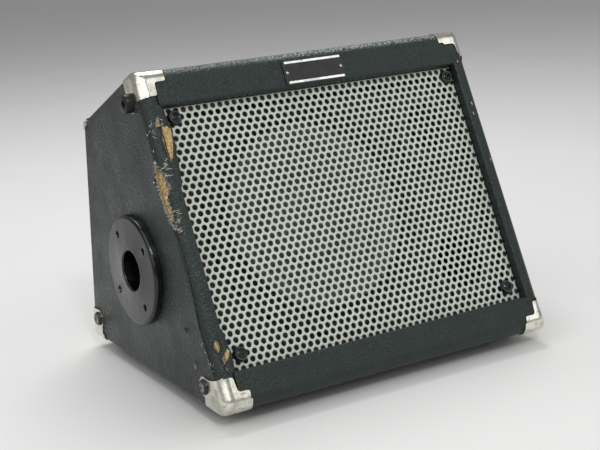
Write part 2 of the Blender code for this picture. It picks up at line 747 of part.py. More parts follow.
def grille_sheet():
    """Its pattern of small round holes is finer than this solid goes."""
    reach = INNER_HALF - GAP
    low = (-reach, GRILLE_SET_BACK, -OPENING_BOTTOM + GAP)
    high = (reach, GRILLE_SET_BACK + GRILLE_SHEET, -OPENING_TOP - GAP)
    sheet = box("grille_sheet", low, high, FRONT, GRILLE_PAINT)
    drill(sheet, grille_screw_holes())
    return sheet


def grille_screw(name, place):
    """Cross-head screw with the cup washer that it keeps."""
    profile = [
        (0, CUP_WASHER + SCREW_HEAD_RISE * 0.5),
        (SCREW_HEAD_RADIUS * 0.6, CUP_WASHER + SCREW_HEAD_RISE * 0.4),
        (SCREW_HEAD_RADIUS, CUP_WASHER * 0.75),
        (CUP_WASHER_RADIUS * 0.8, CUP_WASHER),
        (CUP_WASHER_RADIUS, CUP_WASHER * 0.35),
        (CUP_WASHER_RADIUS, 0),
        (SCREW_SHANK_RADIUS, 0),
        (SCREW_SHANK_RADIUS, -SCREW_LENGTH),
        (0, -SCREW_LENGTH),
    ]
    return turned(name, profile, place, BLACK_STEEL, SMALL_ROUND)


def badge_plate():
    wide, tall = (size / 2 for size in PLATE_SIZE)
    place = FRONT @ at(PLATE_X, 0, -PLATE_DOWN)
    low, high = (-wide, -PLATE - GAP, -tall), (wide, -GAP, tall)
    return box("badge_plate", low, high, place, BLACK_STEEL, edge=PLATE_EDGE)


# Metal corners
def spread(side, reach):
    """X range from outside a side to a reach inside it."""
    return sorted((side * (HALF + OUTSIDE), side * (HALF - reach)))


def front_top_pads(side):
    long_low, long_high = spread(side, CORNER_LONG_LEG)
    short_low, short_high = spread(side, CORNER_SHORT_LEG)
    edge_low, edge_high = spread(side, REAR_RIM_RADIUS + 0.001)
    leg, narrow, deep = CORNER_LONG_LEG, CORNER_SHORT_LEG, FRONT_EDGE_RADIUS + 0.001
    return [
        (FRONT, (long_low, -OUTSIDE, -narrow), (long_high, deep, OUTSIDE)),
        (FRONT, (long_low, -OUTSIDE, -OUTSIDE), (long_high, narrow, OUTSIDE)),
        (FRONT, (short_low, -OUTSIDE, -OUTSIDE), (short_high, leg, OUTSIDE)),
        (FRONT, (short_low, -OUTSIDE, -leg), (short_high, deep, OUTSIDE)),
        (FRONT, (edge_low, -OUTSIDE, -leg), (edge_high, leg, OUTSIDE)),
    ]


def front_bottom_pads(side):
    long_low, long_high = spread(side, CORNER_LONG_LEG)
    short_low, short_high = spread(side, CORNER_SHORT_LEG)
    edge_low, edge_high = spread(side, REAR_RIM_RADIUS + 0.001)
    front_leg = CORNER_LONG_LEG + FRONT_EDGE_RADIUS
    low_leg = CORNER_SHORT_LEG + FRONT_EDGE_RADIUS
    deep = FRONT_EDGE_RADIUS + 0.002
    end = -FRONT_SLOPE
    ear = EARS["front_bottom"]
    top = ear.y + CORNER_EAR_RADIUS
    return [
        (FRONT, (long_low, -OUTSIDE, end - OUTSIDE), (long_high, deep, end + low_leg)),
        (FRONT, (short_low, -OUTSIDE, end - OUTSIDE), (short_high, deep, end + front_leg)),
        (BASE, (long_low, 0, -OUTSIDE), (long_high, low_leg + 0.004, OUTSIDE)),
        (BASE, (short_low, 0, -OUTSIDE), (short_high, front_leg + 0.006, OUTSIDE)),
        (FRONT, (edge_low, -OUTSIDE, end - FAR), (edge_high, ear.x * 0.55, end + front_leg)),
        (BASE, (edge_low, 0, -OUTSIDE), (edge_high, ear.x + CORNER_EAR_RADIUS * 0.8, ear.y)),
        (BASE, (edge_low, 0.001, 0), (edge_high, ear.x, top)),
    ]


def rear_bottom_pads(side):
    long_low, long_high = spread(side, CORNER_LONG_LEG)
    short_low, short_high = spread(side, CORNER_SHORT_LEG)
    edge_low, edge_high = spread(side, REAR_RIM_RADIUS + 0.001)
    leg, narrow = CORNER_LONG_LEG, CORNER_SHORT_LEG
    rear = REAR_BOTTOM.x
    ear = EARS["rear_bottom"]
    top = ear.y + CORNER_EAR_RADIUS
    return [
        (BASE, (long_low, rear - narrow, -OUTSIDE), (long_high, rear + OUTSIDE, OUTSIDE)),
        (BASE, (short_low, rear - leg, -OUTSIDE), (short_high, rear + OUTSIDE, OUTSIDE)),
        (REAR, (long_low, -OUTSIDE, -OUTSIDE), (long_high, OUTSIDE, narrow)),
        (REAR, (short_low, -OUTSIDE, -OUTSIDE), (short_high, OUTSIDE, leg)),
        (BASE, (edge_low, ear.x, -OUTSIDE), (edge_high, rear + OUTSIDE, top)),
        (BASE, (edge_low, ear.x - CORNER_EAR_RADIUS * 0.8, -OUTSIDE), (edge_high, rear, ear.y)),
    ]


def pressed_skin(name, space):
    """Thin metal over the cabinet form, kept where it lies in a space."""
    skin = bpy.data.objects.new(name, FORM_OVER_METAL.data.copy())
    skin.matrix_world = BASE
    finish(skin, NICKEL)
    cut(skin, FORM_WITH_GAP)
    cut(skin, space, "INTERSECT")
    return skin


def metal_corner(where, side, pads):
    name = "corner_" + where + ("_left" if side < 0 else "_right")
    round_ear = bmesh.new()
    add_cylinder(round_ear, CORNER_EAR_RADIUS, -OUTSIDE, OUTSIDE, ear_place(side, where), ROUND)
    space = object_from(name + "_space", round_ear, None, CUTTERS)
    for number, (place, low, high) in enumerate(pads, start=1):
        step = number * PAD_STEP
        low = [value - step for value in low]
        high = [value + step for value in high]
        cut(space, box(f"{name}_pad_{number}", low, high, place, None, group=CUTTERS), "UNION")
    return pressed_skin(name, space)


def edge_strip():
    """Bright angle strip over the top rear edge."""
    reach = HALF - REAR_RIM_RADIUS
    rear_height = REAR_TOP.y / math.cos(REAR_LEAN)
    low, high = (-reach, TOP_DEPTH - STRIP_LEG, -OUTSIDE), (reach, TOP_DEPTH + FAR, OUTSIDE)
    space = box("edge_strip_space", low, high, FRONT, None, group=CUTTERS)
    low, high = (-reach, -OUTSIDE, rear_height - STRIP_LEG), (reach, OUTSIDE, rear_height + FAR)
    cut(space, box("edge_strip_rear_space", low, high, REAR, None, group=CUTTERS), "UNION")
    return pressed_skin("edge_strip", space)


def bumper(name, place):
    """Rubber button on an upper ear, with a deep well for its screw."""
    seat = BUMPER_HEIGHT * 0.45
    profile = [
        (0, seat),
        (BUMPER_WELL_RADIUS, seat),
        (BUMPER_WELL_RADIUS, BUMPER_HEIGHT),
        (BUMPER_RADIUS * 0.86, BUMPER_HEIGHT),
        (BUMPER_RADIUS, BUMPER_HEIGHT * 0.75),
        (BUMPER_RADIUS, 0),
        (0, 0),
    ]
    return turned(name, profile, place, RUBBER, SMALL_ROUND)


def foot(name, place):
    """Rubber foot with a sunk seat for its screw."""
    tall = FOOT_HEIGHT - GAP
    seat = tall * 0.5
    profile = [
        (0, seat),
        (FOOT_WELL_RADIUS, seat),
        (FOOT_WELL_RADIUS, tall),
        (FOOT_RADIUS * 0.82, tall),
        (FOOT_RADIUS * 0.88, tall * 0.88),
        (FOOT_RADIUS, 0),
        (0, 0),
    ]
    return turned(name, profile, place, RUBBER, SMALL_ROUND)


# Pole socket
def pole_socket():
    """Flange and blind cup in one moulding, open to the side."""
    cup = SOCKET_BORE_RADIUS + SOCKET_WALL
    bottom = SOCKET_PROUD - SOCKET_DEPTH
    profile = [
        (0, bottom),
        (SOCKET_BORE_RADIUS, bottom),
        (SOCKET_BORE_RADIUS, SOCKET_PROUD - SOCKET_MOUTH),
        (SOCKET_BORE_RADIUS + SOCKET_MOUTH, SOCKET_PROUD),
        (SOCKET_RADIUS - SOCKET_RIM, SOCKET_PROUD),
        (SOCKET_RADIUS - SOCKET_RIM * 0.3, SOCKET_PROUD - SOCKET_RIM * 0.3),
        (SOCKET_RADIUS, SOCKET_PROUD - SOCKET_RIM),
        (SOCKET_RADIUS, GAP),
        (cup, GAP),
        (cup, bottom - SOCKET_FLOOR),
        (0, bottom - SOCKET_FLOOR),
    ]
    socket = turned("pole_socket", profile, SOCKET, GLOSS_BLACK, FINE_ROUND)
    holes = []
    for number in range(4):
        turn = Matrix.Rotation(math.pi / 4 + number * math.pi / 2 - TILT, 4, "Z")
        seat = SOCKET @ turn @ at(SOCKET_SCREW_CIRCLE, 0, 0)
        holes.append((seat, SOCKET_HOLE_RADIUS, -0.001, SOCKET_PROUD + 0.001, SMALL_ROUND))
    drill(socket, holes)
    return socket


# Handle
def handle_strap():
    """Flat strap that bows up between its two end caps."""
    reach = HANDLE_SPAN / 2 - HANDLE_CAP_LENGTH / 2 + HANDLE_GRIP
    rest = HANDLE_SLOT_HEIGHT + HANDLE_STRAP / 2
    upper, lower = [], []
    for step in range(HANDLE_STEPS + 1):
        x = reach * (2 * step / HANDLE_STEPS - 1)
        free = reach - HANDLE_GRIP
        bow = HANDLE_RISE * (0.5 + 0.5 * math.cos(math.pi * min(1, abs(x) / free)))
        upper.append((x, rest + bow + HANDLE_STRAP / 2))
        lower.append((x, rest + bow - HANDLE_STRAP / 2))
    place = FRONT @ at(0, HANDLE_BACK, 0) @ FACING_FRONT
    return flat_outline("handle_strap", lower + upper[::-1], HANDLE_STRAP_WIDTH, place, RUBBER)


def handle_cap(name, side):
    """End cap with a slot that the strap slides in."""
    long, wide, tall = HANDLE_CAP_LENGTH / 2, HANDLE_CAP_WIDTH / 2, HANDLE_CAP_HEIGHT
    place = FRONT @ at(side * HANDLE_SPAN / 2, HANDLE_BACK, GAP)
    cap = box(name, (-long, -wide, 0), (long, wide, tall), place, NICKEL, edge=HANDLE_CAP_EDGE)
    half_slot = HANDLE_STRAP_WIDTH / 2 + GAP
    reach = side * (long - HANDLE_GRIP - 0.001)
    near, far = sorted((-side * (long + 0.01), -reach))
    low = (near, -half_slot, HANDLE_SLOT_HEIGHT - 2 * GAP)
    high = (far, half_slot, HANDLE_SLOT_HEIGHT + HANDLE_STRAP + GAP)
    cut(cap, box(name + "_slot", low, high, place, None, group=CUTTERS))
    return cap


# Woofer, on the baffle's front face with +Z to the front
def cone_height(radius):
    """Height of the cone's upper surface, which steepens towards its neck."""
    share = (radius - CONE_NECK_RADIUS) / (CONE_RADIUS - CONE_NECK_RADIUS)
    return CONE_EDGE - CONE_DEPTH * (1 - share) ** CONE_CURVE


def woofer_basket():
    """Pressed frame with four windows, a shelf for the spider and a back plate."""
    flange = GAP + BASKET_WALL
    wall = BASKET_WALL
    shelf = BASKET_SHELF_RISE - BASKET_DEPTH
    foot_radius = BASKET_FOOT_RADIUS
    profile = [
        (WOOFER_RADIUS, flange),
        (WOOFER_RADIUS, GAP),
        (WOOFER_CUTOUT - 0.0013, GAP),
        (WOOFER_CUTOUT - 0.0030, -0.004),
        (BASKET_SHELF_RADIUS, shelf - wall),
        (foot_radius + wall, shelf - wall),
        (foot_radius + wall, -BASKET_DEPTH),
        (BASKET_HOLE_RADIUS, -BASKET_DEPTH),
        (BASKET_HOLE_RADIUS, wall - BASKET_DEPTH),
        (foot_radius, wall - BASKET_DEPTH),
        (foot_radius, shelf),
        (BASKET_SHELF_RADIUS - wall, shelf),
        (WOOFER_CUTOUT - 0.0030 - wall, -0.004),
        (WOOFER_CUTOUT - 0.0030 - wall, flange),
    ]
    basket = turned("woofer_basket", profile, WOOFER, BLACK_STEEL, FINE_ROUND, closed=True)
    bm = bmesh.new()
    half = BASKET_WINDOW / 2
    for turn in (math.pi / 4, 3 * math.pi / 4):
        spin = Matrix.Rotation(turn, 4, "Z")
        add_box(bm, (-WOOFER_RADIUS, -half, shelf + 0.006), (WOOFER_RADIUS, half, -BAFFLE), spin)
    cut(basket, object_from("woofer_basket_windows", bm, None, CUTTERS, WOOFER), overlapping=True)
    return basket


def ring_profile(outer, inner, bottom, top):
    return [(outer, top), (outer, bottom), (inner, bottom), (inner, top)]


def woofer_gasket():
    bottom = BASKET_WALL + 2 * GAP
    profile = ring_profile(WOOFER_RADIUS - GAP, WOOFER_RADIUS - GASKET_WIDTH, bottom, bottom + GASKET)
    return turned("woofer_gasket", profile, WOOFER, CLOTH, FINE_ROUND, closed=True)


def woofer_surround():
    """Pleated cloth edge between the frame and the cone."""
    outer = WOOFER_RADIUS - GASKET_WIDTH - GAP
    lip = outer - SURROUND_LIP
    inner = CONE_RADIUS + GAP
    rest = BASKET_WALL + 2 * GAP
    lower = [(outer, rest), (lip, rest)]
    pleats = 2 * SURROUND_PLEATS
    for step in range(1, pleats):
        radius = lip + (inner - lip) * step / pleats
        lower.append((radius, rest + (SURROUND_RISE if step % 2 else SURROUND_RISE * 0.35)))
    lower.append((inner, CONE_EDGE - CONE_SHEET))
    upper = [(radius, height + CONE_SHEET) for radius, height in reversed(lower)]
    return turned("woofer_surround", lower + upper, WOOFER, CLOTH, FINE_ROUND, closed=True)


def woofer_cone():
    run = CONE_NECK_RADIUS - CONE_RADIUS
    radii = [CONE_RADIUS + run * step / CONE_STEPS for step in range(CONE_STEPS + 1)]
    lower = [(radius, cone_height(radius) - CONE_SHEET) for radius in radii]
    upper = [(radius, cone_height(radius)) for radius in reversed(radii)]
    return turned("woofer_cone", lower + upper, WOOFER, PAPER, FINE_ROUND, closed=True)


def woofer_dust_cap():
    seat = cone_height(DUST_CAP_RADIUS) + 2 * GAP
    steps = 5
    outside, inside = [], []
    for step in range(steps + 1):
        share = step / steps
        rise = DUST_CAP_RISE * (1 - share**2)
        outside.append((DUST_CAP_RADIUS * share, seat + rise + CONE_SHEET))
        inside.append((DUST_CAP_RADIUS * share, seat + rise))
    return turned("woofer_dust_cap", outside + inside[::-1], WOOFER, PAPER, ROUND)


def woofer_voice_coil():
    top = cone_height(CONE_NECK_RADIUS)
    bottom = -BASKET_DEPTH - TOP_PLATE - COIL_OVERHANG
    profile = ring_profile(COIL_RADIUS, COIL_RADIUS - COIL_WALL, bottom, top)
    return turned("woofer_voice_coil", profile, WOOFER, COPPER, ROUND, closed=True)


def woofer_spider():
    """Corrugated ring between the shelf and the voice coil."""
    outer = BASKET_SHELF_RADIUS - BASKET_WALL - 2 * GAP
    inner = COIL_RADIUS + GAP
    rest = BASKET_SHELF_RISE - BASKET_DEPTH + GAP
    lower = [(outer, rest), (BASKET_FOOT_RADIUS, rest)]
    waves = 2 * SPIDER_WAVES
    for step in range(1, waves):
        radius = BASKET_FOOT_RADIUS + (inner - BASKET_FOOT_RADIUS) * step / waves
        lower.append((radius, rest + (SPIDER_RISE if step % 2 else 0)))
    lower.append((inner, rest))
    upper = [(radius, height + SPIDER_SHEET) for radius, height in reversed(lower)]
    return turned("woofer_spider", lower + upper, WOOFER, CLOTH, ROUND, closed=True)


def woofer_motor():
    top = -BASKET_DEPTH - GAP
    plate_bottom = top - TOP_PLATE
    gap_radius = COIL_RADIUS + COIL_CLEARANCE
    profile = ring_profile(TOP_PLATE_RADIUS, gap_radius, plate_bottom, top)
    turned("woofer_top_plate", profile, WOOFER, ZINC, ROUND, closed=True)
    magnet_top = plate_bottom - GAP
    magnet_bottom = magnet_top - MAGNET
    profile = ring_profile(MAGNET_RADIUS, MAGNET_BORE_RADIUS, magnet_bottom, magnet_top)
    turned("woofer_magnet", profile, WOOFER, FERRITE, ROUND, closed=True)
    plate_top = magnet_bottom - GAP
    pole = COIL_RADIUS - COIL_WALL - COIL_CLEARANCE
    profile = [
        (0, top),
        (pole, top),
        (pole, plate_top),
        (TOP_PLATE_RADIUS, plate_top),
        (TOP_PLATE_RADIUS, plate_top - YOKE_PLATE),
        (0, plate_top - YOKE_PLATE),
    ]
    turned("woofer_yoke", profile, WOOFER, ZINC, ROUND)


# Tweeter and port
def rounded_rectangle(wide, tall, radius, steps=4):
    points = []
    for number, (x, y) in enumerate(((1, 1), (-1, 1), (-1, -1), (1, -1))):
        for step in range(steps + 1):
            angle = math.pi / 2 * (number + step / steps)
            across = x * (wide / 2 - radius) + radius * math.cos(angle)
            points.append((across, y * (tall / 2 - radius) + radius * math.sin(angle)))
    return points


def tweeter():
    """Rounded square flange, a horn with a bullet in its throat, and a round rear case."""
    outline = rounded_rectangle(TWEETER_FLANGE, TWEETER_FLANGE, TWEETER_CORNER)
    middle = GAP + TWEETER_FLANGE_THICK / 2
    unit = flat_outline("tweeter", outline, TWEETER_FLANGE_THICK, TWEETER @ at(0, 0, middle), BLACK_PLASTIC)
    bm = bmesh.new()
    add_cylinder(bm, TWEETER_BODY_RADIUS, -TWEETER_BODY_DEPTH, middle, TWEETER, ROUND)
    cut(unit, object_from("tweeter_case", bm, None, CUTTERS), "UNION")
    horn = bmesh.new()
    mouth = GAP + TWEETER_FLANGE_THICK
    depth = mouth + TWEETER_HORN_DEPTH
    bmesh.ops.create_cone(
        horn,
        cap_ends=True,
        segments=ROUND,
        radius1=TWEETER_THROAT_RADIUS,
        radius2=TWEETER_MOUTH_RADIUS,
        depth=depth,
        matrix=TWEETER @ at(0, 0, mouth - depth / 2 + 0.0001),
    )
    cut(unit, object_from("tweeter_horn", horn, None, CUTTERS))
    bullet = bmesh.new()
    bmesh.ops.create_cone(
        bullet,
        cap_ends=True,
        segments=SMALL_ROUND,
        radius1=TWEETER_BULLET_RADIUS,
        radius2=TWEETER_BULLET_RADIUS * 0.3,
        depth=TWEETER_BULLET,
        matrix=TWEETER @ at(0, 0, mouth - depth + TWEETER_BULLET / 2 - 0.001),
    )
    cut(unit, object_from("tweeter_bullet", bullet, None, CUTTERS), "UNION")
    return unit


def port_tube():
    outer = PORT_BORE_RADIUS + PORT_WALL
    front = GAP + PORT_FLANGE_THICK
    profile = [
        (PORT_FLANGE_RADIUS, front),
        (PORT_FLANGE_RADIUS, GAP),
        (outer, GAP),
        (outer, -PORT_LENGTH),
        (PORT_BORE_RADIUS, -PORT_LENGTH),
        (PORT_BORE_RADIUS, front - PORT_FLARE),
        (PORT_BORE_RADIUS + PORT_FLARE, front),
    ]
    return turned("port_tube", profile, PORT, BLACK_PLASTIC, ROUND, closed=True)


# Control panel, with height 0 on its upper face
def panel_at(x):
    return FRONT @ at(x, PANEL_ROW, -PANEL_SET_DOWN)


def control_panel():
    low = (-INNER_HALF, PANEL_FRONT, -PANEL_UNDER)
    high = (INNER_HALF, PANEL_REAR, -PANEL_SET_DOWN)
    panel = box("control_panel", low, high, FRONT, BLACK_STEEL)
    through = (-PANEL - 0.002, 0.002)
    bm = bmesh.new()
    for x in KNOB_XS:
        add_cylinder(bm, BUSHING_RADIUS + GAP, *through, panel_at(x), SMALL_ROUND)
    for x in JACK_XS:
        add_cylinder(bm, JACK_BARREL_RADIUS + GAP, *through, panel_at(x), SMALL_ROUND)
    add_cylinder(bm, BUTTON_RADIUS + GAP, *through, panel_at(BUTTON_X), SMALL_ROUND)
    wide, long = (size / 2 + GAP for size in SWITCH_BODY)
    add_box(bm, (-wide, -long, through[0]), (wide, long, through[1]), panel_at(SWITCH_X))
    cut(panel, object_from("control_panel_holes", bm, None, CUTTERS))
    return panel


def chassis_tray():
    """Folded steel tray under the panel, open at the top."""
    top = -PANEL_UNDER - GAP
    bm = bmesh.new()
    add_box(bm, (-CHASSIS_HALF, CHASSIS_FRONT, top - CHASSIS_DEPTH), (CHASSIS_HALF, CHASSIS_REAR, top))
    lid = [face for face in bm.faces if face.calc_center_median().z > top - GAP]
    bmesh.ops.delete(bm, geom=lid, context="FACES_ONLY")
    tray = object_from("chassis_tray", bm, ZINC, PARTS, FRONT)
    wall = tray.modifiers.new("wall", "SOLIDIFY")
    wall.thickness = CHASSIS_WALL
    wall.offset = -1
    wall.use_even_offset = True
    return tray


def circuit_board():
    """Board with the potentiometers, the switch under the button and its tall components."""
    top = -PANEL - GAP - POT_LENGTH
    reach = PANEL_ROW - CHASSIS_FRONT - CHASSIS_WALL - BOARD_CLEARANCE
    low = (KNOB_XS[0] - BOARD_PAST_KNOB, -reach, top - BOARD_SHEET)
    high = (SWITCH_X - BOARD_FROM_SWITCH, reach, top)
    board = box("circuit_board", low, high, panel_at(0), BOARD_GREEN)
    bm = bmesh.new()
    sunk = BOARD_SHEET / 2
    for x in KNOB_XS:
        add_cylinder(bm, POT_RADIUS, top - sunk, -PANEL - GAP, at(x, 0, 0), SMALL_ROUND)
        add_cylinder(bm, BUSHING_RADIUS, top + sunk, POT_NUT, at(x, 0, 0), SMALL_ROUND)
        add_cylinder(bm, POT_SHAFT_RADIUS, top + 2 * sunk, POT_SHAFT_TOP, at(x, 0, 0), TINY_ROUND)
    add_cylinder(bm, BUTTON_RADIUS, top - sunk, top + BUTTON_SWITCH, at(BUTTON_X, 0, 0), SMALL_ROUND)
    for x, y, radius, tall in CAPACITORS:
        add_cylinder(bm, radius, top - BOARD_SHEET - tall, top - sunk, at(x, y, 0), SMALL_ROUND)
    cut(board, object_from("circuit_board_parts", bm, None, CUTTERS, panel_at(0)), "UNION", overlapping=True)
    return board


def knob(name, x):
    """Tapered knob, hollow below for the nut, with a bore for the shaft."""
    base = KNOB_LIFT
    top = base + KNOB_HEIGHT
    nut = POT_NUT + GAP * 2
    recess = BUSHING_RADIUS + KNOB_RECESS
    bore = POT_SHAFT_RADIUS + GAP
    profile = [
        (0, POT_SHAFT_TOP + GAP),
        (bore, POT_SHAFT_TOP + GAP),
        (bore, nut),
        (recess, nut),
        (recess, base),
        (KNOB_RADIUS, base),
        (KNOB_RADIUS, base + KNOB_HEIGHT * 0.22),
        (KNOB_TOP_RADIUS, top - 0.001),
        (KNOB_TOP_RADIUS - 0.001, top),
        (0, top),
    ]
    return turned(name, profile[::-1], panel_at(x), BLACK_PLASTIC, KNOB_SIDES)


def input_jack(name, x):
    """Threaded barrel through the panel, its collar above and its body below."""
    collar = GAP + JACK_COLLAR
    under = -PANEL - GAP
    deep = under - JACK_BODY_LENGTH + 0.003
    profile = [
        (JACK_COLLAR_RADIUS, collar),
        (JACK_COLLAR_RADIUS, GAP),
        (JACK_BARREL_RADIUS, GAP),
        (JACK_BARREL_RADIUS, under),
        (JACK_BODY_RADIUS, under),
        (JACK_BODY_RADIUS, under - JACK_BODY_LENGTH),
        (0, under - JACK_BODY_LENGTH),
    ]
    inside = [(0, deep), (JACK_BORE_RADIUS, deep), (JACK_BORE_RADIUS, collar)]
    return turned(name, inside + profile, panel_at(x), BLACK_PLASTIC, SMALL_ROUND)


def channel_button():
    under = -PANEL - GAP
    profile = [
        (0, BUTTON_PROUD),
        (BUTTON_RADIUS - 0.0005, BUTTON_PROUD),
        (BUTTON_RADIUS, BUTTON_PROUD - 0.0005),
        (BUTTON_RADIUS, under),
        (BUTTON_RADIUS + BUTTON_COLLAR, under),
        (BUTTON_RADIUS + BUTTON_COLLAR, under - 0.0015),
        (BUTTON_RADIUS - 0.001, under - 0.0015),
        (BUTTON_RADIUS - 0.001, under - BUTTON_TAIL),
        (0, under - BUTTON_TAIL),
    ]
    return turned("channel_button", profile, panel_at(BUTTON_X), BLACK_PLASTIC, SMALL_ROUND)


def switch_housing():
    """Frame on the panel and the body under it, hollowed for the rocker."""
    wide, long = (size / 2 for size in SWITCH_FRAME)
    place = panel_at(SWITCH_X)
    low, high = (-wide, -long, GAP), (wide, long, SWITCH_FRAME_PROUD)
    housing = box("switch_housing", low, high, place, BLACK_PLASTIC)
    wide, long = (size / 2 for size in SWITCH_BODY)
    body = box(
        "switch_body", (-wide, -long, -SWITCH_BODY_DEPTH), (wide, long, 0.001), place, None, group=CUTTERS
    )
    cut(housing, body, "UNION")
    reach = ROCKER_RADIUS + GAP
    wide = ROCKER_WIDTH / 2 + GAP
    low = (-wide, -reach, ROCKER_PIVOT - reach)
    cut(housing, box("switch_cavity", low, (wide, reach, 0.02), place, None, group=CUTTERS))
    return housing


def rocker():
    """Rocker with a dished top and a round underside, at rest with its rear end down."""
    points = [(0, ROCKER_DISH)]
    sweep = math.pi + 2 * ROCKER_END
    for step in range(ROCKER_STEPS + 1):
        angle = ROCKER_END - sweep * step / ROCKER_STEPS
        points.append((ROCKER_RADIUS * math.cos(angle), ROCKER_RADIUS * math.sin(angle)))
    tip = Matrix.Rotation(-ROCKER_SWING / 2, 4, "X")
    place = panel_at(SWITCH_X) @ at(0, 0, ROCKER_PIVOT) @ tip @ ACROSS
    return flat_outline("power_rocker", points, ROCKER_WIDTH, place, BLACK_PLASTIC)


# Mains parts
def transformer():
    """Laminated core with its winding, on a bent foot plate."""
    wide, deep, tall = CORE
    core = box("transformer", (-wide / 2, -deep / 2, 0), (wide / 2, deep / 2, tall), TRANSFORMER, ZINC)
    bm = bmesh.new()
    across, along, height = WINDING
    middle = tall / 2
    add_box(bm, (-across / 2, -along / 2, middle - height / 2), (across / 2, along / 2, middle + height / 2))
    reach = wide / 2 + CORE_LUG
    add_box(bm, (-reach, -deep / 2 - 0.001, 0), (reach, deep / 2 + 0.001, CORE_FOOT))
    parts = object_from("transformer_parts", bm, None, CUTTERS, TRANSFORMER)
    cut(core, parts, "UNION", overlapping=True)
    return core


def mains_inlet():
    """Three-pin inlet: flange, body through the rear panel, and its socket."""
    wide, tall = (size / 2 for size in INLET_FLANGE)
    low, high = (-wide, -tall, GAP), (wide, tall, INLET_FLANGE_THICK)
    inlet = box("mains_inlet", low, high, INLET, BLACK_PLASTIC, edge=0.001)
    wide, tall = (size / 2 for size in INLET_BODY)
    low, high = (-wide, -tall, -INLET_BODY_DEPTH), (wide, tall, INLET_FLANGE_THICK / 2)
    cut(inlet, box("inlet_body", low, high, INLET, None, group=CUTTERS), "UNION")
    wide, tall = (size / 2 for size in INLET_CAVITY)
    floor = INLET_FLANGE_THICK - INLET_CAVITY_DEPTH
    cut(inlet, box("inlet_cavity", (-wide, -tall, floor), (wide, tall, 0.02), INLET, None, group=CUTTERS))
    pins = bmesh.new()
    half, along, long = INLET_PIN[0] / 2, INLET_PIN[1] / 2, INLET_PIN[2]
    for x, y in INLET_PIN_PLACES:
        add_box(pins, (x - half, y - along, floor - 0.001), (x + half, y + along, floor + long - 0.001))
    cut(inlet, object_from("inlet_pins", pins, None, CUTTERS, INLET), "UNION")
    return inlet


side_board("side_board_left", -1)
side_board("side_board_right", 1)
front_rail("front_top_rail", -OPENING_TOP, FAR)
front_rail("front_bottom_rail", -FAR, -OPENING_BOTTOM)
top_board()
bottom_board()
baffle_board()
rear_panel()
rear_frame()
grille_frame()
grille_sheet()
for screw_name, screw_place in GRILLE_SCREWS.items():
    grille_screw(screw_name, screw_place)
badge_plate()
for side in (-1, 1):
    metal_corner("front_top", side, front_top_pads(side))
    metal_corner("front_bottom", side, front_bottom_pads(side))
    metal_corner("rear_bottom", side, rear_bottom_pads(side))
edge_strip()
bumper("bumper_left", ear_place(-1, "front_top", CORNER_PROUD + GAP))
bumper("bumper_right", ear_place(1, "front_top", CORNER_PROUD + GAP))
for foot_name, foot_place in FEET.items():
    foot(foot_name, foot_place)
pole_socket()
handle_strap()
handle_cap("handle_cap_left", -1)
handle_cap("handle_cap_right", 1)
woofer_basket()
woofer_gasket()
woofer_surround()
woofer_cone()
woofer_dust_cap()
woofer_voice_coil()
woofer_spider()
woofer_motor()
tweeter()
port_tube()
control_panel()
chassis_tray()
circuit_board()
for knob_name, knob_x in zip(KNOB_NAMES, KNOB_XS):
    knob(knob_name, knob_x)
input_jack("input_jack_high", JACK_XS[0])
input_jack("input_jack_low", JACK_XS[1])
channel_button()
switch_housing()
rocker()
transformer()
mains_inlet()
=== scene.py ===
"""Looks of a wedge-shaped guitar combo amplifier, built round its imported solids.

Metres, +Z up, in the frame of the solids. The grille faces -Y.
"""

import json
import math
import random

import bmesh
import bpy
from mathutils import Matrix, Quaternion, Vector
from mathutils.bvhtree import BVHTree
from mathutils.interpolate import poly_3d_calc

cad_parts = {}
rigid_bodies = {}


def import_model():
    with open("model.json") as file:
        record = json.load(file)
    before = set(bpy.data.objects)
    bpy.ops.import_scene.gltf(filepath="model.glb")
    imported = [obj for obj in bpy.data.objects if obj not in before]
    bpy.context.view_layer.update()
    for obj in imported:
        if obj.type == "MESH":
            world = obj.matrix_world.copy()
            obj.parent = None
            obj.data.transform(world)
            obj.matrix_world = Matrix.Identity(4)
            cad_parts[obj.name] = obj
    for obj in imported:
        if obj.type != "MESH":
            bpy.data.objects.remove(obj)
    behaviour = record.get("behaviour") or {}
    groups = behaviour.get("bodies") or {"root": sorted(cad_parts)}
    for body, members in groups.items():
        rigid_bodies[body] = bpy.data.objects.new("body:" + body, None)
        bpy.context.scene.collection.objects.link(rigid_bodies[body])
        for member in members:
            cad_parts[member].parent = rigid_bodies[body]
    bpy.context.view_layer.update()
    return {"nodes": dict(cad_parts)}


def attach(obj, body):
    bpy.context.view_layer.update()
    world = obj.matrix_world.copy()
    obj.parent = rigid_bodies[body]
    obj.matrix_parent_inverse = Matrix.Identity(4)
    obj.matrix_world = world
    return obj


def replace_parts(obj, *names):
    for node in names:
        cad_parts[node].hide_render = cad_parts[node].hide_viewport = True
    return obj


# Cabinet sizes, as in the solids
WIDTH = 0.336
FRONT_SLOPE = 0.300
TOP_DEPTH = 0.134
TILT = math.radians(26.5)
REAR_LEAN = math.radians(4.9)
SIDE_BOARD = 0.0145
FRONT_EDGE_RADIUS = 0.0105
FRONT_RIM_RADIUS = 0.0095
REAR_EDGE_RADIUS = 0.004
REAR_RIM_RADIUS = 0.003
INNER_RIM_RADIUS = 0.0016
FOOT_HEIGHT = 0.012
GAP = 0.0003
OPENING_TOP = 0.0338
OPENING_BOTTOM = 0.262
RAIL_DEPTH = 0.020
TOP_BOARD_DEPTH = 0.042
CORNER_SHEET = 0.0008

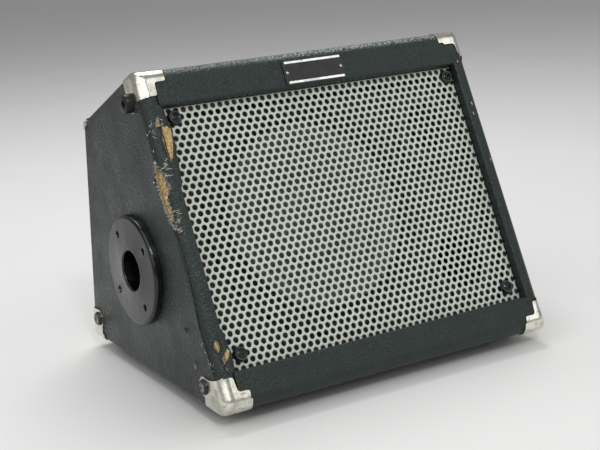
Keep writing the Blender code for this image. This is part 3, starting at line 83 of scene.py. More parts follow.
HALF = WIDTH / 2
INNER_HALF = HALF - SIDE_BOARD - GAP
CORNER_PROUD = GAP + CORNER_SHEET
FRONT_TOP = Vector((FRONT_SLOPE * math.sin(TILT), FRONT_SLOPE * math.cos(TILT)))
REAR_TOP = FRONT_TOP + TOP_DEPTH * Vector((math.cos(TILT), -math.sin(TILT)))
REAR_BOTTOM = Vector((REAR_TOP.x + REAR_TOP.y * math.tan(REAR_LEAN), 0))
FRONT_HALF_ANGLE = (math.pi / 2 - TILT) / 2
REAR_HALF_ANGLE = (math.pi / 2 - REAR_LEAN) / 2
FOREMOST = FRONT_EDGE_RADIUS / math.tan(FRONT_HALF_ANGLE) - FRONT_EDGE_RADIUS - CORNER_PROUD
REARMOST = REAR_BOTTOM.x - REAR_EDGE_RADIUS / math.tan(REAR_HALF_ANGLE) + REAR_EDGE_RADIUS + CORNER_PROUD
CABINET_Y = -(FOREMOST + REARMOST) / 2
SIDES = {"left": -1, "right": 1}

# BASE: x, back, up, from the sharp bottom front edge.
# FRONT: x, depth behind the front face, up the slope, from the sharp top front edge.
# REAR: x, outwards, up the rear face, from the sharp bottom rear edge.
BASE = Matrix.Translation((0, CABINET_Y, FOOT_HEIGHT))
FRONT = BASE @ Matrix.Translation((0, FRONT_TOP.x, FRONT_TOP.y)) @ Matrix.Rotation(-TILT, 4, "X")
REAR = BASE @ Matrix.Translation((0, REAR_BOTTOM.x, 0)) @ Matrix.Rotation(REAR_LEAN, 4, "X")
FACING_FRONT = Matrix.Rotation(math.pi / 2, 4, "X")
FACING_REAR = Matrix.Rotation(-math.pi / 2, 4, "X")
FACING_DOWN = Matrix.Rotation(math.pi, 4, "X")
ACROSS = Matrix.Rotation(math.pi / 2, 4, "Z") @ Matrix.Rotation(math.pi / 2, 4, "X")
UPRIGHT = Matrix.Identity(4)


def at(x, y, z):
    return Matrix.Translation((x, y, z))


def spun(angle):
    return Matrix.Rotation(angle, 4, "Z")


def facing_side(side):
    """Turn that points a piece's own +Z out of the left (-1) or right (1) side."""
    return Matrix.Rotation(side * math.pi / 2, 4, "Y")


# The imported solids
for old in list(bpy.data.objects):
    bpy.data.objects.remove(old, do_unlink=True)
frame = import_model()


# Material tools
def material(name, colour, roughness, metallic=0.0, **sockets):
    made = bpy.data.materials.new(name)
    made.use_nodes = True
    values = {"Base Color": (*colour, 1), "Roughness": roughness, "Metallic": metallic}
    values.update((key.replace("_", " "), value) for key, value in sockets.items())
    for key, value in values.items():
        shader_input(made, key).default_value = value
    made.diffuse_color = (*colour, 1)
    return made


def node(look, kind, settings=(), **values):
    """Node of a kind. Settings are its properties, and values its inputs' values."""
    made = look.node_tree.nodes.new("ShaderNode" + kind)
    for key, value in dict(settings).items():
        setattr(made, key, value)
    for key, value in values.items():
        made.inputs[key.replace("_", " ")].default_value = value
    return made


def link(look, source, target):
    look.node_tree.links.new(source, target)


def shader_input(look, name):
    return look.node_tree.nodes["Principled BSDF"].inputs[name]


def place(look, stretch=(1, 1, 1)):
    """Position on the object, in metres, with each axis stretched."""
    where = node(look, "TexCoord").outputs["Object"]
    if stretch == (1, 1, 1):
        return where
    scaled = node(look, "Mapping", Scale=stretch)
    link(look, where, scaled.inputs["Vector"])
    return scaled.outputs["Vector"]


def noise(look, scale, detail=3.0, roughness=0.5, where=None):
    made = node(look, "TexNoise", Scale=scale, Detail=detail, Roughness=roughness)
    link(look, where or place(look), made.inputs["Vector"])
    return made.outputs["Fac"]


def cells(look, scale, feature="SMOOTH_F1", where=None):
    made = node(look, "TexVoronoi", {"feature": feature}, Scale=scale)
    link(look, where or place(look), made.inputs["Vector"])
    return made.outputs["Distance"]


def stripes(look, direction, scale):
    made = node(look, "TexWave", {"wave_type": "BANDS", "bands_direction": direction}, Scale=scale)
    link(look, place(look), made.inputs["Vector"])
    return made.outputs["Fac"]


def ramp(look, source, low, high, first=0.0, last=1.0):
    """Value that goes smoothly from first to last while the source goes from low to high."""
    made = node(look, "MapRange", {"interpolation_type": "SMOOTHSTEP"},
                From_Min=low, From_Max=high, To_Min=first, To_Max=last)
    link(look, source, made.inputs["Value"])
    return made.outputs["Result"]


def maths(look, operation, first, second):
    made = node(look, "Math", {"operation": operation})
    for socket, value in zip(made.inputs, (first, second)):
        if isinstance(value, (int, float)):
            socket.default_value = value
        else:
            link(look, value, socket)
    return made.outputs["Value"]


def product(look, first, second):
    return maths(look, "MULTIPLY", first, second)


def total(look, first, second):
    return maths(look, "ADD", first, second)


def blend_colours(look, share, first, second):
    made = node(look, "Mix", {"data_type": "RGBA"})
    link(look, share, made.inputs["Factor"])
    for key, value in (("A", first), ("B", second)):
        socket = [s for s in made.inputs if s.name == key and s.type == "RGBA"][0]
        if isinstance(value, (tuple, list)):
            socket.default_value = (*value, 1)
        else:
            link(look, value, socket)
    return [s for s in made.outputs if s.type == "RGBA"][0]


def paint(look, share, first, second):
    """Colour the material from first to second by a share."""
    link(look, blend_colours(look, share, first, second), shader_input(look, "Base Color"))


def rough(look, source, first, last, low=0.3, high=0.7):
    """Roughness that goes from first to last while the source goes from low to high."""
    link(look, ramp(look, source, low, high, first, last), shader_input(look, "Roughness"))


def bump(look, height, distance, strength=1.0, under=None):
    made = node(look, "Bump", Distance=distance, Strength=strength)
    link(look, height, made.inputs["Height"])
    if under is not None:
        link(look, under, made.inputs["Normal"])
    link(look, made.outputs["Normal"], shader_input(look, "Normal"))
    return made.outputs["Normal"]


def along(look, axis_place, row):
    """Coordinate along one axis of a placed frame, in metres."""
    inverse = axis_place.inverted()
    axis = node(look, "VectorMath", {"operation": "DOT_PRODUCT"})
    link(look, place(look), axis.inputs[0])
    axis.inputs[1].default_value = inverse[row][:3]
    return total(look, axis.outputs["Value"], inverse[row][3])


def darker(shade, share):
    return tuple(value * share for value in shade)


# Materials
WAVE_SCALE = 6.3                  # divides a weave's fineness to give the stripes' scale


def vinyl(name, rubbed):
    """Pebble-grain black vinyl, dust, faint scuffs and, if wanted, a pale front edge of wear and painted
    highlight.
    """
    tint = (0.90, 1.0, 0.96, 1)
    look = material(name, (0.010, 0.013, 0.012), 0.30, Specular_IOR_Level=0.42, Specular_Tint=tint)
    pebbles = total(look, product(look, cells(look, 620), 0.9), product(look, noise(look, 1500), 0.35))
    lumps = bump(look, noise(look, 30), 0.0016, 0.5)
    bump(look, pebbles, 0.0010, 0.9, lumps)
    rough(look, noise(look, 38, 4), 0.22, 0.40)
    tone = blend_colours(look, noise(look, 60, 5), (0.0078, 0.0120, 0.0107), (0.0175, 0.0258, 0.0232))
    dust = product(look, ramp(look, noise(look, 520, 5, 0.65), 0.70, 0.78), 0.25)
    dust_colour = (0.24, 0.23, 0.20)
    if rubbed:
        tone = blend_colours(look, dust, tone, dust_colour)
        # The pale front edge is partly rubbed wear and partly a painted highlight of the lamps.
        paint(look, product(look, edge_wear(look), 0.85), tone, (0.50, 0.55, 0.50))
    else:
        paint(look, dust, tone, dust_colour)
    return look


def edge_wear(look):
    """Share of the upper front edge made pale, more so to the right: rubbed bare fibres and a painted
    highlight.
    """
    slope = ramp(look, along(look, FRONT, 2), -0.0085, -0.0035)
    depth = ramp(look, along(look, FRONT, 1), 0.010, 0.003)
    across = ramp(look, along(look, FRONT, 0), -0.09, 0.03, 0.5, 1.0)
    # Fibre-like speckle, which also paints glints of light along the edge.
    fibres = ramp(look, noise(look, 560, 6, 0.8), 0.48, 0.58)
    return product(look, product(look, slope, depth), product(look, across, fibres))


def painted_steel(name, shade, fleck):
    look = material(name, shade, 0.42)
    paint(look, ramp(look, noise(look, 34, 6, 0.6), 0.35, 0.75), shade, darker(shade, 1 - fleck))
    rough(look, noise(look, 120, 4), 0.36, 0.52)
    bump(look, noise(look, 1500), 0.00005, 0.5)
    return look


def nickel(name, shade, roughness):
    """Bright plate with soft dents, fine scratches and dull brown tarnish."""
    look = material(name, shade, roughness, 1.0)
    spots = ramp(look, noise(look, 210, 6, 0.7), 0.55, 0.70)
    clouds = ramp(look, noise(look, 70, 5, 0.6), 0.42, 0.66)
    paint(look, spots, blend_colours(look, clouds, shade, darker(shade, 0.70)), (0.30, 0.24, 0.16))
    stains = total(look, product(look, clouds, 0.5), product(look, spots, 0.4))
    rough(look, stains, roughness - 0.04, roughness + 0.24, 0.15, 0.9)
    dents = bump(look, noise(look, 110, 2), 0.0010, 0.30)
    bump(look, noise(look, 300, 5, 0.7, place(look, (1, 7, 0.6))), 0.00003, 0.6, dents)
    return look


def black_metal(name):
    """Glossy black finish, rubbed through to steel here and there."""
    look = material(name, (0.010, 0.010, 0.011), 0.12)
    rub = ramp(look, noise(look, 420, 6, 0.7), 0.62, 0.74)
    paint(look, rub, (0.007, 0.007, 0.008), (0.13, 0.12, 0.11))
    rough(look, noise(look, 160, 4), 0.04, 0.28)
    bump(look, noise(look, 700), 0.00010, 0.6)
    return look


def zinc(name, shade):
    look = material(name, shade, 0.38, 1.0)
    paint(look, cells(look, 160, "F1"), shade, darker(shade, 0.72))
    rough(look, noise(look, 90, 4), 0.30, 0.52)
    bump(look, noise(look, 700, 4), 0.00005, 0.5)
    return look


def plastic(name):
    look = material(name, (0.020, 0.020, 0.022), 0.36)
    wipe = noise(look, 55, 5, 0.6)
    paint(look, ramp(look, wipe, 0.35, 0.75), (0.020, 0.020, 0.022), (0.036, 0.036, 0.0392))
    rough(look, wipe, 0.30, 0.46)
    bump(look, noise(look, 1800, 2), 0.00006, 0.6)
    return look


def moulding(name):
    """Glossy black moulding under a patchy film of dust and grease."""
    look = material(name, (0.004, 0.0045, 0.005), 0.12, Specular_IOR_Level=0.50)
    film = ramp(look, noise(look, 60, 7, 0.65), 0.40, 0.66)
    specks = ramp(look, noise(look, 480, 6, 0.7), 0.60, 0.72)
    tone = blend_colours(look, film, (0.0015, 0.0018, 0.0020), (0.010, 0.011, 0.0095))
    paint(look, product(look, specks, 0.35), tone, (0.09, 0.085, 0.07))
    rough(look, total(look, film, specks), 0.05, 0.27, 0.0, 1.4)
    bump(look, noise(look, 110, 6, 0.6), 0.0007, 0.5)
    return look


def rubber(name, roughness):
    look = material(name, (0.010, 0.010, 0.010), roughness, Specular_IOR_Level=0.3)
    dust = ramp(look, noise(look, 260, 6, 0.7), 0.52, 0.74)
    paint(look, product(look, dust, 0.5), (0.008, 0.008, 0.008), (0.06, 0.058, 0.052))
    rough(look, noise(look, 80), roughness, roughness + 0.2)
    bump(look, noise(look, 1100, 4), 0.00012, 0.7)
    return look


def chipboard(name):
    """Bare particle board: pressed tan chips with pale specks."""
    look = material(name, (0.55, 0.38, 0.18), 0.85)
    chips = cells(look, 620, "F1", place(look, (1, 1, 0.45)))
    tone = blend_colours(look, ramp(look, chips, 0.05, 0.75), (0.78, 0.61, 0.29), (0.46, 0.29, 0.105))
    paint(look, ramp(look, noise(look, 900, 4, 0.7), 0.60, 0.72), tone, (0.90, 0.76, 0.46))
    bump(look, total(look, chips, noise(look, 1500, 4)), 0.0012)
    return look


def wood(name, shade, dark):
    look = material(name, shade, 0.78)
    grain = noise(look, 90, 6, 0.6, place(look, (0.12, 1, 1)))
    paint(look, ramp(look, grain, 0.3, 0.7), shade, dark)
    rough(look, grain, 0.70, 0.88)
    bump(look, grain, 0.00025, 0.6)
    return look


def woven(name, shade, light, scale, roughness=0.88):
    look = material(name, shade, roughness)
    weave = product(look, *(stripes(look, direction, scale / WAVE_SCALE) for direction in "XZ"))
    paint(look, product(look, weave, noise(look, 120, 4)), shade, light)
    bump(look, weave, 0.00018, 0.7)
    return look


def pressed_paper(name):
    look = material(name, (0.10, 0.104, 0.094), 0.8)
    pulp = noise(look, 750, 6, 0.7)
    paint(look, ramp(look, pulp, 0.35, 0.7), (0.07, 0.073, 0.066), (0.13, 0.134, 0.12))
    bump(look, pulp, 0.0003, 0.8)
    return look


def circuit(name):
    look = material(name, (0.02, 0.10, 0.04), 0.4)
    tracks = ramp(look, cells(look, 330, "F1", place(look, (1, 0.3, 0.3))), 0.30, 0.36)
    paint(look, tracks, (0.03, 0.16, 0.06), (0.012, 0.07, 0.028))
    bump(look, tracks, 0.00006, 0.6)
    return look


def ferrite(name):
    look = material(name, (0.055, 0.056, 0.060), 0.6)
    grit = noise(look, 600, 6, 0.7)
    paint(look, grit, (0.035, 0.036, 0.040), (0.085, 0.086, 0.090))
    bump(look, grit, 0.0002, 0.7)
    return look


def winding(name):
    look = material(name, (0.70, 0.32, 0.14), 0.35, 0.9)
    turns = stripes(look, "Y", 700)
    paint(look, turns, (0.45, 0.18, 0.07), (0.80, 0.42, 0.20))
    bump(look, turns, 0.0002, 0.8)
    return look


def printed(name):
    """Screen-printed ink, slightly rubbed."""
    look = material(name, (0.72, 0.72, 0.70), 0.5)
    paint(look, ramp(look, noise(look, 700, 5, 0.7), 0.60, 0.80), (0.72, 0.72, 0.70), (0.25, 0.25, 0.25))
    bump(look, noise(look, 1500, 2), 0.00002, 0.5)
    return look


def lens(name):
    look = material(name, (0.55, 0.02, 0.015), 0.12, Transmission_Weight=0.4)
    paint(look, noise(look, 300, 2), (0.55, 0.02, 0.015), (0.42, 0.012, 0.01))
    bump(look, noise(look, 900, 2), 0.00002, 0.5)
    return look


VINYL = vinyl("black_vinyl", True)
PANEL_VINYL = vinyl("rear_vinyl", False)
GRILLE_PAINT = painted_steel("warm_grey_paint", (0.555, 0.59, 0.52), 0.10)
NICKEL = nickel("nickel_plate", (0.80, 0.79, 0.69), 0.27)
BRIGHT_STRIPE = nickel("bright_stripe", (0.95, 0.95, 0.94), 0.34)
BLACK_STEEL = black_metal("black_steel")
PANEL_PAINT = painted_steel("panel_paint", (0.009, 0.0095, 0.010), 0.3)
ZINC = zinc("zinc_steel", (0.62, 0.62, 0.61))
DULL_STEEL = zinc("dull_steel", (0.42, 0.40, 0.37))
BLACK_PLASTIC = plastic("black_plastic")
GLOSS_BLACK = moulding("gloss_black_plastic")
RUBBER = rubber("black_rubber", 0.62)
SMOOTH_RUBBER = rubber("smooth_rubber", 0.24)
BOARD = chipboard("particle_board")
BACKING = woven("torn_backing", (0.16, 0.13, 0.085), (0.72, 0.64, 0.48), 1500)
FIBRE = woven("loose_fibre", (0.66, 0.65, 0.58), (0.90, 0.89, 0.82), 1500)
WOOD = wood("bare_wood", (0.46, 0.32, 0.18), (0.30, 0.19, 0.10))
BLACK_WOOD = wood("black_stained_wood", (0.014, 0.014, 0.014), (0.030, 0.029, 0.027))
PAPER = pressed_paper("paper_cone")
CLOTH = woven("treated_cloth", (0.026, 0.026, 0.027), (0.075, 0.073, 0.070), 900)
FERRITE = ferrite("ferrite")
COPPER = winding("copper_winding")
CIRCUIT = circuit("circuit_board")
INK = printed("white_ink")
LAMP_LENS = lens("lamp_lens")
STRAP_WEBBING = woven("strap_webbing", (0.020, 0.020, 0.021), (0.055, 0.055, 0.055), 1300, 0.7)


# Shape tools
def shown(name, data):
    """Object in the scene."""
    thing = bpy.data.objects.new(name, data)
    bpy.context.scene.collection.objects.link(thing)
    return thing


def discard(things):
    for thing in things:
        bpy.data.objects.remove(thing, do_unlink=True)


def mesh_alone(thing):
    """An object's mesh, with the object removed."""
    mesh = thing.data
    discard([thing])
    return mesh


def evaluated_mesh(thing):
    """Mesh with the modifiers or the letters worked in."""
    bpy.context.view_layer.update()
    graph = bpy.context.evaluated_depsgraph_get()
    return bpy.data.meshes.new_from_object(thing.evaluated_get(graph))


def finished(name, bm, look=None, body="cabinet", where=UPRIGHT, sharp=35):
    """Object from a bmesh, put in place and shaded smooth. One with a look is fixed to its body."""
    bmesh.ops.recalc_face_normals(bm, faces=bm.faces)
    mesh = bpy.data.meshes.new(name)
    bm.to_mesh(mesh)
    bm.free()
    mesh.transform(where)
    mesh.shade_smooth()
    if sharp:
        mesh.set_sharp_from_angle(angle=math.radians(sharp))
    thing = shown(name, mesh)
    if look:
        mesh.materials.append(look)
        if body:
            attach(thing, body)
    return thing


def weigh_normals(thing):
    made = thing.modifiers.new("weighted_normals", "WEIGHTED_NORMAL")
    made.keep_sharp = True
    made.weight = 80
    return thing


def soften(thing, width, segments=2):
    bevel = thing.modifiers.new("soft_edges", "BEVEL")
    bevel.width = width
    bevel.segments = segments
    bevel.limit_method = "ANGLE"
    bevel.angle_limit = math.radians(50)
    bevel.harden_normals = True


def combine(thing, others, operation="DIFFERENCE"):
    """Boolean of a piece with cutting pieces, worked in, and the cutters removed."""
    for other in others:
        made = thing.modifiers.new(operation.lower(), "BOOLEAN")
        made.operation = operation
        made.solver = "EXACT"
        made.material_mode = "TRANSFER"
        made.object = other
    mesh = evaluated_mesh(thing)
    thing.modifiers.clear()
    thing.data = mesh
    discard(others)
    return thing


def quarter_turn(steps):
    """Cosine and sine at even steps over a right angle."""
    angles = [math.pi / 2 * step / steps for step in range(steps + 1)]
    return [(math.cos(angle), math.sin(angle)) for angle in angles]


def filleted(corners, steps=8):
    """Outline with round corners. Each corner is (x, y, radius), in order round the outline."""
    outline = []
    for index, (x, y, radius) in enumerate(corners):
        here = Vector((x, y))
        if radius <= 0:
            outline.append(here)
            continue
        before = (Vector(corners[index - 1][:2]) - here).normalized()
        after = (Vector(corners[(index + 1) % len(corners)][:2]) - here).normalized()
        half = before.angle(after) / 2
        centre = here + (before + after).normalized() * radius / math.sin(half)
        start = here + before * radius / math.tan(half) - centre
        end = here + after * radius / math.tan(half) - centre
        turn = math.atan2(start.x * end.y - start.y * end.x, start.dot(end))
        for step in range(steps + 1):
            cos, sin = math.cos(turn * step / steps), math.sin(turn * step / steps)
            outline.append(centre + Vector((start.x * cos - start.y * sin, start.x * sin + start.y * cos)))
    return outline


def rounded_rectangle(half_long, half_wide, radius):
    """Outline of a rectangle with round corners."""
    signs = ((-1, -1), (1, -1), (1, 1), (-1, 1))
    return filleted([(x * half_long, y * half_wide, radius) for x, y in signs])


def bridge(bm, rings):
    """Faces between rings of vertices, and over both ends."""
    count = len(rings[0])
    for first, second in zip(rings, rings[1:]):
        for index in range(count):
            after = (index + 1) % count
            bm.faces.new((first[index], first[after], second[after], second[index]))
    bm.faces.new(rings[0])
    bm.faces.new(rings[-1])


def extruded(name, outline, low, high, where, look=None, body="cabinet", sharp=35):
    """Outline in the place's XY plane, pulled along its Z from low to high."""
    bm = bmesh.new()
    bridge(bm, [[bm.verts.new((x, y, z)) for x, y in outline] for z in (low, high)])
    return finished(name, bm, look, body, where, sharp)


def box(name, low, high, where, look=None, body="cabinet"):
    outline = [(low[0], low[1]), (high[0], low[1]), (high[0], high[1]), (low[0], high[1])]
    return extruded(name, outline, low[2], high[2], where, look, body)


def ring_about_z(bm, sides, height, radius_at):
    """Ring of vertices, from its radius at each angle."""
    ring = []
    for side in range(sides):
        angle = 2 * math.pi * side / sides
        radius = radius_at(angle)
        ring.append(bm.verts.new((radius * math.cos(angle), radius * math.sin(angle), height)))
    return ring


def lathe_mesh(profile, sides=48, closed=False):
    """Profile of (radius, height) points turned about Z."""
    bm = bmesh.new()
    rings = []
    for radius, height in profile:
        if radius == 0:
            rings.append([bm.verts.new((0, 0, height))] * sides)
        else:
            rings.append(ring_about_z(bm, sides, height, lambda angle, radius=radius: radius))
    pairs = list(zip(rings, rings[1:]))
    if closed:
        pairs.append((rings[-1], rings[0]))
    for first, second in pairs:
        for side in range(sides):
            after = (side + 1) % sides
            unique = list(dict.fromkeys((first[side], first[after], second[after], second[side])))
            if len(unique) > 2:
                bm.faces.new(unique)
    return bm


def lathe(name, profile, where, look=None, body="cabinet", sides=48, closed=False, sharp=35):
    return finished(name, lathe_mesh(profile, sides, closed), look, body, where, sharp)


def in_a_circle(where, count, radius, height, first=0.0):
    """Numbered places round a place's Z."""
    for number in range(count):
        yield number + 1, where @ spun(first + 2 * math.pi * number / count) @ at(radius, 0, height)


# Cabinet form: each edge's point, radius and steps
PROFILE = [
    (Vector((0, 0)), FRONT_EDGE_RADIUS, 14),
    (FRONT_TOP, FRONT_EDGE_RADIUS, 12),
    (REAR_TOP, REAR_EDGE_RADIUS, 7),
    (REAR_BOTTOM, REAR_EDGE_RADIUS, 8),
]
RIM_STEPS = 8
INNER_RIM_STEPS = 3


def profile_stations():
    """(centre, radius, outward direction, rim radius) round the side profile."""
    stations = []
    for index, (point, radius, steps) in enumerate(PROFILE):
        before = (PROFILE[index - 1][0] - point).normalized()
        after = (PROFILE[(index + 1) % 4][0] - point).normalized()
        centre = point + (before + after).normalized() * radius / math.sin(before.angle(after) / 2)
        start = Vector((before.y, -before.x))
        start = -start if start.dot(after) > 0 else start
        end = Vector((-after.y, after.x))
        end = -end if end.dot(before) > 0 else end
        # The rim is wide on the front face only, and narrows within the corners beside it.
        first = FRONT_RIM_RADIUS if index == 1 else REAR_RIM_RADIUS
        last = FRONT_RIM_RADIUS if index == 0 else REAR_RIM_RADIUS
        for step in range(steps + 1):
            share = step / steps
            stations.append((centre, radius, start.slerp(end, share), first + (last - first) * share))
    return stations


STATIONS = profile_stations()


def form_ring(bm, across, inset_of):
    ring = []
    for centre, radius, outward, rim in STATIONS:
        point = centre + outward * (radius - inset_of(rim))
        ring.append(bm.verts.new((across(rim), point.x, point.y)))
    return ring


def rim_angles():
    """Angles of the rings over a rounded rim, from the side face inwards."""
    return [math.pi / 2 * (1 - step / RIM_STEPS) for step in range(RIM_STEPS + 1)]


def rim_normals(side):
    """True normal at each vertex of the rings over a rim, in their order."""
    normals = []
    for angle in rim_angles():
        flat = math.cos(angle)
        for centre, radius, outward, rim in STATIONS:
            normals.append(Vector((side * math.sin(angle), outward.x * flat, outward.y * flat)))
    return normals


def rim_rings(bm, side, grow):
    rings = []
    for angle in rim_angles():

        def across(rim, angle=angle):
            return side * (HALF + grow - (rim + grow) * (1 - math.sin(angle)))

        def inset(rim, angle=angle):
            return (rim + grow) * (1 - math.cos(angle)) - grow

        rings.append(form_ring(bm, across, inset))
    return rings


def cabinet_form(name, grow):
    bm = bmesh.new()
    bridge(bm, rim_rings(bm, -1, grow) + rim_rings(bm, 1, grow)[::-1])
    return finished(name, bm, where=BASE, sharp=None)


def side_board(word, side):
    """Vinyl-covered side with a wide rounded rim outside and a small one inside."""
    bm = bmesh.new()
    rings = rim_rings(bm, side, 0.0)
    inner = HALF - SIDE_BOARD
    for cos, sin in quarter_turn(INNER_RIM_STEPS):
        across = side * (inner + INNER_RIM_RADIUS * (1 - sin))
        inset = INNER_RIM_RADIUS * (1 - cos)
        rings.append(form_ring(bm, lambda rim, across=across: across, lambda rim, inset=inset: inset))
    bridge(bm, rings)
    board = finished(f"side_board_{word}_skin", bm, VINYL, "cabinet", BASE, 50)
    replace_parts(weigh_normals(board), f"side_board_{word}")
    return board


def rail(word, corners):
    """Front rail between the sides, from its cross-section of (depth, height, edge radius)."""
    outline = filleted(corners)
    board = extruded(f"front_{word}_rail_skin", outline, -INNER_HALF, INNER_HALF, FRONT @ ACROSS, VINYL)
    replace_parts(weigh_normals(board), f"front_{word}_rail")


# Metal corners
FRONT_AXES = FRONT @ FACING_FRONT
EAR_RADIUS = 0.0088
TOP_EAR_BACK = {-1: 0.0188, 1: 0.0220}
TOP_EAR_DOWN = 0.0224
EARS = {
    "front_bottom": Vector((0.0396, 0.0176)),
    "rear_bottom": Vector((REAR_BOTTOM.x - 0.0154, 0.0189)),
}
REACH = 0.006                     # of a cutting space past the cabinet
REACH_STEP = 0.00007              # keeps the faces of overlapping spaces apart
EDGE = REACH + REACH_STEP
SIDE_FLANGE_DEEP = 0.0042
STRIP_LEG = 0.0065
STRIP_DEEP = 0.0057
ON_FORM = 0.00004                 # farthest that a face of the skin lies off the form that it follows
SAME_FACING = 0.94                # least cosine between the normals of the two


def ear_place(side, level, out=0.0):
    """On the side, under a corner's screw."""
    if level == "front_top":
        spot = FRONT @ at(side * (HALF + out), TOP_EAR_BACK[side], -TOP_EAR_DOWN)
    else:
        spot = BASE @ at(side * (HALF + out), *EARS[level])
    return spot @ facing_side(side)


class MetalForm:
    """Cabinet form with the outer and the inner surface of the pressed metal on it."""

    def __init__(self):
        self.over = cabinet_form("form_over_metal", CORNER_PROUD)
        self.under = cabinet_form("form_under_metal", GAP)
        mesh = self.over.data
        points = [vertex.co for vertex in mesh.vertices]
        faces = [list(face.vertices) for face in mesh.polygons]
        self.faces = [[(points[number], number) for number in face] for face in faces]
        self.tree = BVHTree.FromPolygons(points, faces)
        self.normals = rim_normals(-1) + rim_normals(1)

    def true_normal(self, spot, facing):
        """Normal of the rounded form next to a spot, on the side that a face looks to."""
        near, flat, index, distance = self.tree.find_nearest(spot)
        face = self.faces[index]
        true = Vector()
        for weight, (vertex, number) in zip(poly_3d_calc([vertex for vertex, number in face], near), face):
            true += self.normals[number] * weight
        return true.normalized() * (1 if true.dot(facing) > 0 else -1)

    def smooth(self, mesh):
        """Give a pressed skin the form's normals where it follows the form."""
        normals = []
        for face in mesh.polygons:
            near, flat, index, distance = self.tree.find_nearest(face.center)
            follows = distance < ON_FORM and abs(face.normal.dot(flat)) > SAME_FACING
            for number in face.vertices:
                spot = mesh.vertices[number].co
                normals.append(self.true_normal(spot, face.normal) if follows else face.normal.copy())
        mesh.normals_split_custom_set(normals)

    def press(self, name, spaces, nodes):
        """Skin of the form within the spaces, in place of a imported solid."""
        skin = shown(name, self.over.data.copy())
        space = combine(spaces[0], spaces[1:], "UNION")
        combine(skin, [shown(name + "_under", self.under.data.copy())])
        combine(skin, [space], "INTERSECT")
        skin.data.materials.clear()
        skin.data.materials.append(NICKEL)
        self.smooth(skin.data)
        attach(skin, "cabinet")
        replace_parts(skin, nodes)

    def remove(self):
        discard([self.over, self.under])


def flat_space(corners, low, high, where):
    return extruded("flat_space", filleted(corners, 5), low, high, where, sharp=None)


def leg_space(side, reach, legs, low, high, where, down):
    """L-shaped space over a corner's flat face.

    Legs are the length and width of the leg along the edge, then of the one along the side.
    A length is (at the cabinet's edge, at the notch) and so is a width, where they differ.
    """
    (edge_far, edge_near), edge_width, side_far, (side_end, side_notch) = legs
    outer = HALF + reach
    corners = [
        (side * outer, down * reach, 0),
        (side * (HALF - edge_far), down * reach, 0),
        (side * (HALF - edge_near), -down * edge_width, 0.0022),
        (side * (HALF - side_notch), -down * edge_width, 0.0030),
        (side * (HALF - side_end), -down * side_far, 0.0022),
        (side * outer, -down * side_far, 0),
    ]
    return flat_space(corners, low, high, where)


def press_corner(metal, level, side, faces, wing, wing_place):
    """Corner plate over two faces, with a wing over the side and a round ear under its screw.

    Each face is (legs, low, high, place, which way is down). The wing is in (back, up).
    """
    name = f"corner_{level}_" + ("left" if side < 0 else "right")
    spaces = [leg_space(side, REACH + 2 * number * REACH_STEP, *face) for number, face in enumerate(faces)]
    low, high = sorted((side * (HALF - SIDE_FLANGE_DEEP), side * (HALF + REACH + 3 * REACH_STEP)))
    spaces.append(flat_space(wing, low, high, wing_place @ ACROSS))
    reach = REACH + 4 * REACH_STEP
    ear = [(0, -reach), (EAR_RADIUS, -reach), (EAR_RADIUS, reach), (0, reach)]
    spaces.append(lathe("ear_space", ear, ear_place(side, level), sharp=None))
    metal.press(name + "_plate", spaces, name)


def front_top_corner(metal, side):
    front_legs = ((0.0262, 0.0254), 0.0126, 0.0245, (0.0150, 0.0150))
    if side > 0:
        front_legs = ((0.0238, 0.0203), 0.0140, 0.0247, (0.0072, 0.0080))
    top_legs = ((0.0252, 0.0252), 0.0131, 0.0244, (0.0149, 0.0149))
    faces = ((front_legs, -0.0118, EDGE, FRONT_AXES, 1), (top_legs, -0.0121, EDGE, FRONT, -1))
    back = TOP_EAR_BACK[side]
    wing = [
        (-EDGE, EDGE, 0),
        (0.0228, EDGE, 0),
        (0.0228, -0.0090, 0.0020),
        (back + 0.0058, -0.0162, 0),
        (back, -TOP_EAR_DOWN, 0),
        (back - 0.0056, -0.0291, 0),
        (back - 0.0088, -0.0254, 0.0015),
        (-EDGE, -0.0248, 0),
    ]
    press_corner(metal, "front_top", side, faces, wing, FRONT)


def front_bottom_corner(metal, side):
    low_front = FRONT @ at(0, 0, -FRONT_SLOPE) @ FACING_FRONT
    front_legs = ((0.0211, 0.0245), 0.0210, 0.0339, (0.0122, 0.0138))
    if side > 0:
        front_legs = ((0.0256, 0.0230), 0.0199, 0.0319, (0.0108, 0.0118))
    under_legs = ((0.0250, 0.0250), 0.0260, 0.0395, (0.0150, 0.0150))
    faces = ((front_legs, -0.0129, EDGE, low_front, -1), (under_legs, -EDGE, 0.0123, BASE, -1))
    ear = EARS["front_bottom"]
    wing = [
        (-EDGE, -EDGE, 0),
        (0.0215, -EDGE, 0),
        (0.0222, -0.0010, 0.0015),
        (0.0300, 0.0045, 0.0060),
        (0.0352, 0.0094, 0),
        (ear.x, ear.y, 0),
        (0.0372, 0.0259, 0),
        (0.0290, 0.0262, 0.0050),
        (0.0185, 0.0290, 0.0040),
        (0.0150, 0.0322, 0),
        (-EDGE, 0.0330, 0),
    ]
    press_corner(metal, "front_bottom", side, faces, wing, BASE)


